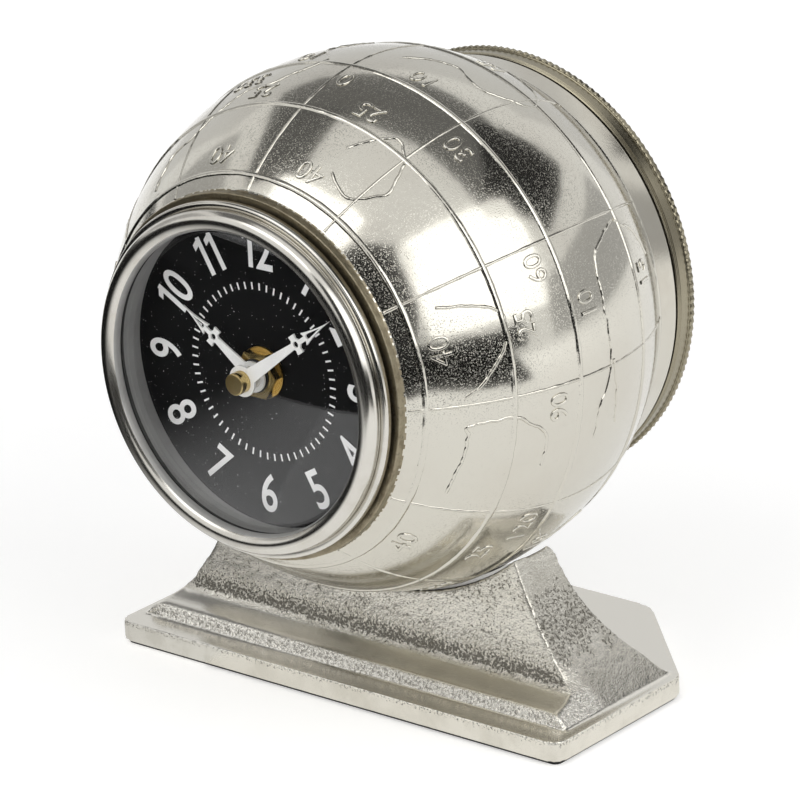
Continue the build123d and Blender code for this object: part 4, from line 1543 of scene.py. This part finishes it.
@dataclass
class DialFront:
    """Bezel, glass and the printed dial; lengths are in millimetres, and a figure's are shares of it."""

    axis: ClockAxis
    bezel_segments: int = 360
    bezel_crease: float = 28.0
    glass_segments: int = 256
    glass_crease: float = 30.0
    arch_steps: int = 40
    dome_steps: int = 48
    rim_steps: int = 6
    shoulder: float = 2.3
    shoulder_width: float = 1.9
    shoulder_round: float = 0.95
    back_round: float = 0.45
    edge_round: float = 0.15
    seat_round: float = 0.1
    bead: Triple = (0.5, -0.12, 0.3)
    groove: float = 0.3
    groove_round: float = 0.2
    raw_height: float = 1.25
    raw_line: Pair = (0.1, 0.05)
    satin_slope: float = -0.8
    lip_height: float = 2.6
    lip_edge: float = 0.8
    lip_width: float = 2.0
    skirt_wall: float = 1.3
    glass_thickness: float = 1.8
    slip: float = 0.1
    tick_radius: float = 20.5
    tick_length: float = 1.7
    tick_width: float = 0.42
    figure_height: float = 9.5
    figure_radius: float = 29.5
    figure_squeeze: float = 0.8
    figure_weight: float = 0.012
    figure_space: float = 0.13
    flag_reach: float = 0.2
    flag_drop: float = 0.13
    flag_stroke: float = 0.95
    flag_root: float = 0.4
    flag_tuck: float = 0.01
    flag_span: Pair = (0.02, 0.9)
    turned_hours: range = range(4, 9)
    print_height: float = 0.04
    case_edge: float = 1.0

    def __post_init__(self) -> None:
        """Read where the bezel, glass and dial lie."""
        self.bezel = self.axis.span("bezel")
        self.glass = self.axis.span("glass")
        self.dial = self.axis.span("dial")
        self.rear = self.axis.span("dial_case").front
        self.rear_face = self.axis.span("dial_case").radius - self.case_edge

    def build(self) -> None:
        """Build every piece of the dial front."""
        ring = add_piece("bezel_ring", lathe(self.axis, self.bezel_profile(), self.bezel_segments),
                         FINISHES.bezel, Body.STAND, ("bezel",), self.bezel_crease)
        self.dress_side(ring.data)
        add_piece("dome_glass", lathe(self.axis, self.glass_profile(), self.glass_segments),
                  FINISHES.glass, Body.STAND, ("glass",), self.glass_crease)
        add_piece("dial_ticks", self.ticks(), FINISHES.printed, Body.STAND)
        add_piece("dial_figures", self.figures(), FINISHES.printed, Body.STAND)

    def dress_side(self, data: bpy.types.Mesh) -> None:
        """Give the bezel's outer side and back the raw finish, and its wall about the glass a satin one.

        Args:
            data: The bezel's mesh.
        """
        data.materials.append(FINISHES.rim.material())
        data.materials.append(FINISHES.satin.material())
        for polygon in data.polygons:
            middle, normal = polygon.center, polygon.normal
            up = middle.z - self.axis.height * MM
            from_axis = math.hypot(middle.x, up)
            outward = (normal.x * middle.x + normal.z * up) / from_axis
            if -middle.y / MM < self.rear + self.raw_height and from_axis / MM > self.rear_face:
                polygon.material_index = 1
            elif outward < self.satin_slope:
                polygon.material_index = 2

    def bezel_profile(self) -> list[Pair]:
        """The bezel's section: shoulder bead, groove, full crest, lip and skirt.

        Returns:
            The closed profile.
        """
        seat = self.glass.radius + self.slip
        opening = seat - self.lip_width
        lip = self.rear + self.lip_height
        top = self.rear + self.shoulder
        skirt = seat + self.skirt_wall
        groove = (self.bezel.radius - self.shoulder_width, top - self.groove)
        crest = ((groove[0] + opening) / 2.0, self.bezel.front)
        inner = (opening, lip + self.lip_edge)
        rim = rounded([(skirt, self.rear, 0.0), (self.bezel.radius, self.rear, self.back_round),
                       (self.bezel.radius, top - self.raw_height + self.raw_line[0], self.raw_line[1]),
                       (self.bezel.radius, top, self.shoulder_round),
                       (groove[0] + self.bead[0], top + self.bead[1], self.bead[2]),
                       (*groove, self.groove_round), (groove[0] - 0.4, groove[1] + 1.4, 0.0)],
                      self.rim_steps)[:-1]
        arch = self.through(groove, crest, inner, self.arch_steps)[2:]
        back = rounded([(opening, lip + 2.0, 0.0), (opening, lip, self.edge_round),
                        (seat, lip, self.seat_round), (seat, self.bezel.rear, self.edge_round),
                        (skirt, self.bezel.rear, self.edge_round), (skirt, lip, 0.0)])[1:-1]
        return rim + arch + back

    @staticmethod
    def through(first: Pair, second: Pair, third: Pair,
                steps: int) -> list[Pair]:
        """Points of the arc through three points.

        Args:
            first: Where the arc starts.
            second: A point on it.
            third: Where it ends.
            steps: How many spans it has.

        Returns:
            The arc's points.
        """
        (ax, ay), (bx, by), (cx, cy) = first, second, third
        d = 2.0 * (ax * (by - cy) + bx * (cy - ay) + cx * (ay - by))
        ux = ((ax**2 + ay**2) * (by - cy) + (bx**2 + by**2) * (cy - ay) + (cx**2 + cy**2) * (ay - by)) / d
        uy = ((ax**2 + ay**2) * (cx - bx) + (bx**2 + by**2) * (ax - cx) + (cx**2 + cy**2) * (bx - ax)) / d
        start = math.degrees(math.atan2(ay - uy, ax - ux))
        middle = (math.degrees(math.atan2(by - uy, bx - ux)) - start) % 360.0
        end = (math.degrees(math.atan2(cy - uy, cx - ux)) - start) % 360.0
        turn = end if middle < end else end - 360.0
        return smooth_arc((ux, uy), math.hypot(ax - ux, ay - uy), start, start + turn, steps)

    def glass_profile(self) -> list[Pair]:
        """The glass's section: two parallel domes and a flat seat.

        Returns:
            The closed profile from the front's middle to the back's.
        """
        edge = self.glass.radius
        dome = edge + self.slip - self.lip_width - self.slip
        seat = self.glass.rear + self.glass_thickness
        rise = self.glass.front - seat
        radius = (dome**2 + rise**2) / (2.0 * rise)
        sweep = np.linspace(0.0, math.asin(dome / radius), self.dome_steps)
        front = [(radius * math.sin(a), self.glass.front - radius * (1 - math.cos(a))) for a in sweep]
        back = [(x, y - self.glass_thickness) for x, y in reversed(front)]
        return front + [(edge, seat), (edge, self.glass.rear)] + back

    def figures(self) -> Mesh:
        """The twelve figures, tops outward on the upper half and inward on the lower.

        Returns:
            One mesh of thin printed solids.
        """
        meshes = []
        for hour in range(1, 13):
            top = GlyphTop.INWARD if hour in self.turned_hours else GlyphTop.OUTWARD
            points, faces = self.digits(str(hour))
            scale = self.figure_height / np.ptp(points[:, 1])
            across = points[:, 0] * scale * self.figure_squeeze * top.value
            along = self.figure_radius + points[:, 1] * scale * top.value
            turn = math.radians(30.0 * hour)
            x = along * math.sin(turn) + across * math.cos(turn)
            z = along * math.cos(turn) - across * math.sin(turn)
            y = -self.dial.front - points[:, 2] * self.print_height
            meshes.append((np.stack((x, y, z + self.axis.height), axis=-1) * MM, faces))
        return join(meshes)

    def digits(self, text: str) -> Mesh:
        """A figure's digits side by side, with a slanted flag on each digit 1.

        Args:
            text: The figure.

        Returns:
            Their mesh about its own middle, in font units.
        """
        meshes: list[Mesh] = []
        start = 0.0
        for digit in text:
            points, faces = glyph(digit, self.figure_weight)
            height = np.ptp(points[:, 1])
            points[:, 0] += start - points[:, 0].min()
            if digit == "1":
                points[:, 0] += self.flag_reach * height
                meshes.append(self.flag(points, start))
            meshes.append((points, faces))
            start = points[:, 0].max() + self.figure_space * height
        points, faces = join(meshes)
        points[:, :2] -= (points[:, :2].min(0) + points[:, :2].max(0)) / 2.0
        return points, faces

    def flag(self, bar: np.ndarray, start: float) -> Mesh:
        """The short slanted stroke at the head of a digit 1.

        Args:
            bar: The upright bar's points.
            start: How far left the stroke reaches.

        Returns:
            A closed prism that ends inside the bar.
        """
        low, high = bar.min(0), bar.max(0)
        width, top = high[0] - low[0], high[1]
        stroke, drop = width * self.flag_stroke, self.flag_drop * (top - low[1])
        inside = low[0] + self.flag_root * width
        outline = [(start, top - drop - stroke), (inside, top - stroke - self.flag_tuck),
                   (inside, top - self.flag_tuck), (start, top - drop)]
        points = np.array([(x, y, z) for z in self.flag_span for x, y in outline])
        return points, BOX_FACES

    def ticks(self) -> Mesh:
        """The ring of sixty minute marks.

        Returns:
            One mesh of thin printed bars.
        """
        meshes = []
        x, y = self.tick_width / 2.0, self.tick_length / 2.0
        corners = np.array([(-x, -y), (x, -y), (x, y), (-x, y)])
        for minute in range(60):
            turn = math.radians(6.0 * minute)
            along = self.tick_radius + corners[:, 1]
            x = along * math.sin(turn) + corners[:, 0] * math.cos(turn)
            z = along * math.cos(turn) - corners[:, 0] * math.sin(turn) + self.axis.height
            low = np.stack((x, np.full(4, -self.dial.front), z), axis=-1)
            high = low - np.array((0.0, self.print_height, 0.0))
            meshes.append((np.concatenate((low, high)) * MM, BOX_FACES))
        return join(meshes)


@dataclass
class RearCover:
    """The coin-edged cover with its spigot; lengths are in millimetres."""

    axis: ClockAxis
    crease: float = 24.0
    band_radius: float = 53.0
    band_chamfer: float = 0.25
    rim_length: float = 1.5
    rim_foot: float = 0.15
    rim_chamfer: float = 0.3
    rim_lean: float = 0.02
    rim_flat: float = 1.2
    notches: int = 180
    notch_steps: int = 8
    notch_depth: float = 0.3
    notch_fade: float = 0.6
    spigot_radius: float = 49.3
    spigot_wall: float = 3.0
    spigot_chamfers: Pair = (0.2, 0.4)
    disc_thickness: float = 2.0
    disc_fillet: float = 0.6
    line_starts: Pair = (0.45, 0.95)
    line_depth: float = 0.22
    line_width: float = 0.3
    face_line: Triple = (2.4, 2.6, 2.8)
    face_line_depth: float = 0.12

    def __post_init__(self) -> None:
        """Read where the cover and its gasket lie."""
        self.cover = self.axis.span("rear_cover")
        self.band_front = self.axis.span("cover_gasket").rear

    def build(self) -> None:
        """Build the cover."""
        profile, depths = self.profile()
        segments = self.notches * self.notch_steps
        add_piece("coin_edge_cover", lathe(self.axis, profile, segments, self.notches, depths),
                  FINISHES.cover, Body.COVER, ("rear_cover",), self.crease)

    def profile(self) -> tuple[list[Pair], list[float]]:
        """The cover's section and how deep the notches cut it.

        Returns:
            The closed profile, and the notch depth at each of its points.
        """
        rear, front, edge = self.cover.rear, self.cover.front, self.cover.radius
        rim_front, side, band_front = rear + self.rim_length, self.band_radius, self.band_front
        inner = self.spigot_radius - self.spigot_wall
        disc = rear + self.disc_thickness
        band = [(self.spigot_radius, band_front), (side - self.band_chamfer, band_front),
                (side, band_front - self.band_chamfer)]
        for below in self.line_starts:
            start = band_front - below
            band += [(side, start), (side - self.line_depth, start - self.line_width / 2),
                     (side, start - self.line_width)]
        band += [(side, rim_front + self.rim_foot)]
        rim = [(side + self.rim_foot, rim_front), (edge - self.rim_chamfer, rim_front - self.rim_lean),
               (edge, rim_front - self.rim_chamfer), (edge, rear + self.rim_chamfer),
               (edge - self.rim_chamfer, rear)]
        shallow = self.notch_depth * self.notch_fade
        cut = [0.0, shallow, self.notch_depth, self.notch_depth, shallow]
        first, middle, last = (side - inset for inset in self.face_line)
        face = [(edge - self.rim_flat, rear), (first, rear), (middle, rear + self.face_line_depth),
                (last, rear), (0.0, rear)]
        bore_chamfer, spigot_chamfer = self.spigot_chamfers
        inside = [(0.0, disc), (inner - self.disc_fillet, disc), (inner, disc + self.disc_fillet),
                  (inner, front - bore_chamfer), (inner + bore_chamfer, front),
                  (self.spigot_radius - spigot_chamfer, front), (self.spigot_radius, front - spigot_chamfer)]
        depths = [0.0] * len(band) + cut + [0.0] * (len(face) + len(inside))
        return band + rim + face + inside, depths


@dataclass
class CarriedNodes:
    """CAD nodes that keep their own shape and get a finish, some with a softened edge."""

    edge_width: float = 0.08
    edge_steps: int = 2
    edge_angle: float = 40.0

    def build(self) -> None:
        """Dress every carried-over node."""
        finishes: dict[str, Finish] = {
            "base_felt": FINISHES.felt, "battery": FINISHES.sleeve, "bridge_plate": FINISHES.brass,
            "bush_nut": FINISHES.brass, "bush_rubber_washer": FINISHES.rubber, "bush_washer": FINISHES.brass,
            "circuit_board": FINISHES.board, "contact_negative": FINISHES.contact,
            "contact_positive": FINISHES.contact, "cover_gasket": FINISHES.rubber, "dial": FINISHES.dial,
            "dial_case": FINISHES.case, "fixing_bolt": FINISHES.steel, "fixing_nut": FINISHES.steel,
            "fixing_washers": FINISHES.steel, "glass_gasket": FINISHES.rubber, "grip_ring": FINISHES.rubber,
            "hand_nut": FINISHES.brass, "hour_hand": FINISHES.hands, "hour_wheel": FINISHES.ivory_plastic,
            "intermediate_wheel": FINISHES.ivory_plastic, "minute_arbor": FINISHES.steel,
            "minute_hand": FINISHES.hands, "motor_module": FINISHES.ivory_plastic,
            "movement_back": FINISHES.black_plastic, "movement_case": FINISHES.black_plastic,
            "set_knob": FINISHES.black_plastic, "spacer_ring": FINISHES.spacer,
        }
        for name, finish in finishes.items():
            node = frame["nodes"][name]
            node.data.materials.clear()
            node.data.materials.append(finish.material())
            log.info("%s: %s", name, finish.name)
        for name in ("bush_nut", "bush_washer", "hour_hand", "minute_hand", "movement_case", "movement_back"):
            self.soften(frame["nodes"][name])

    def soften(self, node: bpy.types.Object) -> None:
        """Round a node's sharp edges a little.

        Args:
            node: The node's object.
        """
        bevel = node.modifiers.new("soft_edge", "BEVEL")
        bevel.width = self.edge_width * MM
        bevel.segments = self.edge_steps
        bevel.limit_method = "ANGLE"
        bevel.angle_limit = math.radians(self.edge_angle)
        bevel.harden_normals = True


@dataclass(frozen=True)
class Panel:
    """A flat thing that faces the clock from a direction; angles in degrees, lengths in metres."""

    name: str
    azimuth: float
    elevation: float
    distance: float
    width: float
    height: float


@dataclass(frozen=True)
class Softbox(Panel):
    """A soft lamp."""

    power: float


@dataclass(frozen=True)
class Card(Panel):
    """A grey studio card that only polished surfaces see."""

    grey: float


@dataclass(frozen=True)
class FloorCard:
    """A flat card just over the floor, where a table ends, that only polished surfaces see."""

    name: str
    left: float
    right: float
    near: float
    far: float
    grey: float
    edge_grey: float
    fade: float = 0.001
    lift: float = 0.001


@dataclass
class Studio:
    """Floor, lamps, cards, surroundings and camera."""

    eye: Triple = (0.72476, -0.86972, 0.48436)
    aim: Triple = (0.00628, -0.00355, 0.07115)
    lens: float = 229.12
    sensor: float = 36.0
    roll: float = -2.38
    floor_size: float = 8.0
    floor_tone: float = 0.86
    clip: Pair = (0.05, 40.0)
    near_glow: float = 0.34
    far_glow: float = 0.5
    glow_reach: Pair = (0.16, 0.7)
    print_glow: float = 1.45
    fill: float = 0.62
    middle: Triple = (0.0, 0.0, 0.08)
    lamps: tuple[Softbox, ...] = (
        Softbox("softbox_right", 85.0, 32.0, 1.0, 1.05, 0.78, 3.1),
        Softbox("softbox_key", 63.0, 38.0, 1.0, 0.34, 0.42, 0.22),
        Softbox("softbox_top", -12.0, 55.0, 1.1, 0.8, 0.4, 1.7),
    )
    cards: tuple[Card, ...] = (
        Card("card_ceiling", 185.0, 63.0, 1.5, 3.0, 0.9, 0.18),
        Card("card_loft", -85.0, 58.0, 1.5, 0.9, 0.6, 0.14),
        Card("card_corner", 147.0, 42.0, 1.4, 0.85, 0.7, 0.03),
        Card("card_camera", 35.0, 24.0, 1.6, 1.0, 1.5, 0.03),
        Card("card_room", 0.0, 1.5, 2.2, 5.0, 0.5, 0.012),
        Card("card_room_right", 72.0, 1.5, 2.2, 2.2, 0.46, 0.012),
        Card("card_room_left", -75.0, 1.5, 2.2, 2.4, 0.42, 0.04),
        Card("card_right", 142.0, 2.0, 1.7, 2.0, 1.0, 0.52),
        Card("card_back", 220.0, 18.0, 1.7, 2.2, 1.1, 0.76),
        Card("card_side", -80.0, 24.0, 1.7, 1.0, 0.8, 0.5),
    )
    floor_cards: tuple[FloorCard, ...] = (
        FloorCard("floor_front", -3.0, 3.0, -0.28, -3.0, 0.012, 0.012),
        FloorCard("floor_right", 0.40, 3.0, 0.05, -0.28, 0.02, 0.02),
        FloorCard("floor_left", -3.0, -0.04, 0.05, -0.28, 0.012, 0.9, 0.14),
    )

    def build(self) -> None:
        """Build the whole studio."""
        bpy.context.scene.view_settings.view_transform = "Standard"
        self.floor()
        self.world()
        for lamp in self.lamps:
            self.softbox(lamp)
        for card in self.cards:
            self.card(card)
        for card in self.floor_cards:
            self.floor_card(card)
        self.camera()

    @staticmethod
    def shown_white(graph: Graph) -> bpy.types.NodeSocket:
        """Add a mask of the rays that see the pale background as it is.

        Args:
            graph: The material's or world's graph.

        Returns:
            The mask's socket.
        """
        path = graph.add("ShaderNodeLightPath")
        both = graph.math("MAXIMUM", path.outputs["Is Camera Ray"], path.outputs["Is Glossy Ray"])
        return graph.math("MAXIMUM", both, path.outputs["Is Transmission Ray"])

    def facing(self, panel: Panel) -> Matrix:
        """Where a panel stands that faces the clock.

        Args:
            panel: The panel, whose azimuth runs from the dial's front towards the viewer's right.

        Returns:
            Its matrix, with its own -Z towards the clock.
        """
        az, el = math.radians(panel.azimuth), math.radians(panel.elevation)
        away = Vector((math.sin(az) * math.cos(el), -math.cos(az) * math.cos(el), math.sin(el)))
        turn = away.to_track_quat("Z", "Y").to_matrix().to_4x4()
        return Matrix.Translation(Vector(self.middle) + away * panel.distance) @ turn

    def plane(self, name: str, width: float, height: float) -> bpy.types.Object:
        """Add a flat stage plane about its own origin.

        Args:
            name: The plane's name.
            width: Its width in metres.
            height: Its height in metres.

        Returns:
            The plane's object.
        """
        data = bpy.data.meshes.new(name)
        x, y = width / 2.0, height / 2.0
        data.from_pydata([(-x, -y, 0.0), (x, -y, 0.0), (x, y, 0.0), (-x, y, 0.0)], [], [(0, 1, 2, 3)])
        plane = bpy.data.objects.new(name, data)
        bpy.context.scene.collection.objects.link(plane)
        return plane

    def floor(self) -> None:
        """Lay the pale floor, which keeps the clock's shadow."""
        floor = self.plane("studio_floor", self.floor_size, self.floor_size)
        material, graph = new_material("pale_floor")
        shader = graph.find("BSDF_PRINCIPLED")
        shader.inputs["Base Color"].default_value = opaque((self.floor_tone,) * 3)
        shader.inputs["Roughness"].default_value = 1.0
        shader.inputs["Specular IOR Level"].default_value = 0.0
        shader.inputs["Emission Color"].default_value = (1.0, 1.0, 1.0, 1.0)
        away = graph.add("ShaderNodeVectorMath", {0: graph.place()}, operation="LENGTH").outputs["Value"]
        spread = graph.ramp(away, *self.glow_reach, self.near_glow, self.far_glow)
        glow = graph.times(self.shown_white(graph), spread)
        graph.feed(shader.inputs["Emission Strength"], glow)
        floor.data.materials.append(material)

    def world(self) -> None:
        """Surround the clock with white, at full strength only where it is seen."""
        world = bpy.data.worlds.new("white_surround")
        world.use_nodes = True
        bpy.context.scene.world = world
        graph = Graph(world.node_tree)
        background = graph.find("BACKGROUND")
        background.inputs["Color"].default_value = (1.0, 1.0, 1.0, 1.0)
        strength = graph.ramp(self.shown_white(graph), 0.0, 1.0, self.fill, 1.0)
        graph.feed(background.inputs["Strength"], strength)

    def softbox(self, lamp: Softbox) -> None:
        """Hang one soft lamp.

        Args:
            lamp: The lamp.
        """
        data = bpy.data.lights.new(lamp.name, "AREA")
        data.shape = "RECTANGLE"
        data.size, data.size_y = lamp.width, lamp.height
        data.energy = lamp.power
        holder = bpy.data.objects.new(lamp.name, data)
        holder.matrix_world = self.facing(lamp)
        bpy.context.scene.collection.objects.link(holder)

    def card(self, card: Card) -> None:
        """Stand up one card, which polished surfaces show at its own grey.

        Args:
            card: The card.
        """
        plane = self.plane(card.name, card.width, card.height)
        plane.matrix_world = self.facing(card)
        self.reflected_only(plane, lambda graph: card.grey)

    def floor_card(self, card: FloorCard) -> None:
        """Lay down one flat card, which may fade in from its right edge.

        Args:
            card: The card.
        """
        width = card.right - card.left
        plane = self.plane(card.name, width, card.near - card.far)
        plane.location = ((card.left + card.right) / 2.0, (card.near + card.far) / 2.0, card.lift)

        def fading(graph: Graph) -> bpy.types.NodeSocket:
            """The card's grey along its width."""
            along = graph.split(graph.place()).outputs["X"]
            return graph.ramp(along, width / 2.0 - card.fade, width / 2.0, card.grey, card.edge_grey)

        self.reflected_only(plane, fading)

    def reflected_only(self, plane: bpy.types.Object, grey: Callable[[Graph], object]) -> None:
        """Make a plane show its grey to polished surfaces and glass, and stay pale for paint and print.

        Args:
            plane: The plane.
            grey: Gives the plane's grey in its material's graph.
        """
        material, graph = new_material(plane.name)
        bounces = graph.add("ShaderNodeLightPath").outputs["Diffuse Depth"]
        strength = graph.mix(graph.math("GREATER_THAN", bounces, 0.5), grey(graph), self.print_glow)
        tone = graph.add("ShaderNodeEmission", {"Strength": strength})
        graph.feed(graph.find("OUTPUT_MATERIAL").inputs["Surface"], tone.outputs[0])
        plane.data.materials.append(material)
        plane.visible_camera = False
        plane.visible_diffuse = False
        plane.visible_shadow = False

    def camera(self) -> None:
        """Set up the camera at the photograph's angle."""
        data = bpy.data.cameras.new("studio_camera")
        data.lens = self.lens
        data.sensor_width = self.sensor
        data.sensor_fit = "HORIZONTAL"
        data.clip_start, data.clip_end = self.clip
        camera = bpy.data.objects.new("studio_camera", data)
        eye = Vector(self.eye)
        back = (eye - Vector(self.aim)).normalized()
        level = Vector((0.0, 0.0, 1.0)).cross(back).normalized()
        upright = back.cross(level)
        turn = math.radians(self.roll)
        right = level * math.cos(turn) + upright * math.sin(turn)
        up = upright * math.cos(turn) - level * math.sin(turn)
        camera.matrix_world = Matrix.Translation(eye) @ Matrix((right, up, back)).transposed().to_4x4()
        bpy.context.scene.collection.objects.link(camera)
        bpy.context.scene.camera = camera


def main() -> None:
    """Build every sub-assembly in order."""
    logging.basicConfig(level=logging.INFO, format="%(name)s %(message)s")
    turn = next(j for j in frame["joints"] if j["name"] == "minute_hand_turn")
    axis = ClockAxis(turn["pos_m"][2] / MM)
    Studio().build()
    CarriedNodes().build()
    Globe(axis).build()
    Plinth().build()
    DialFront(axis).build()
    RearCover(axis).build()


if __name__ == "__main__":
    main()
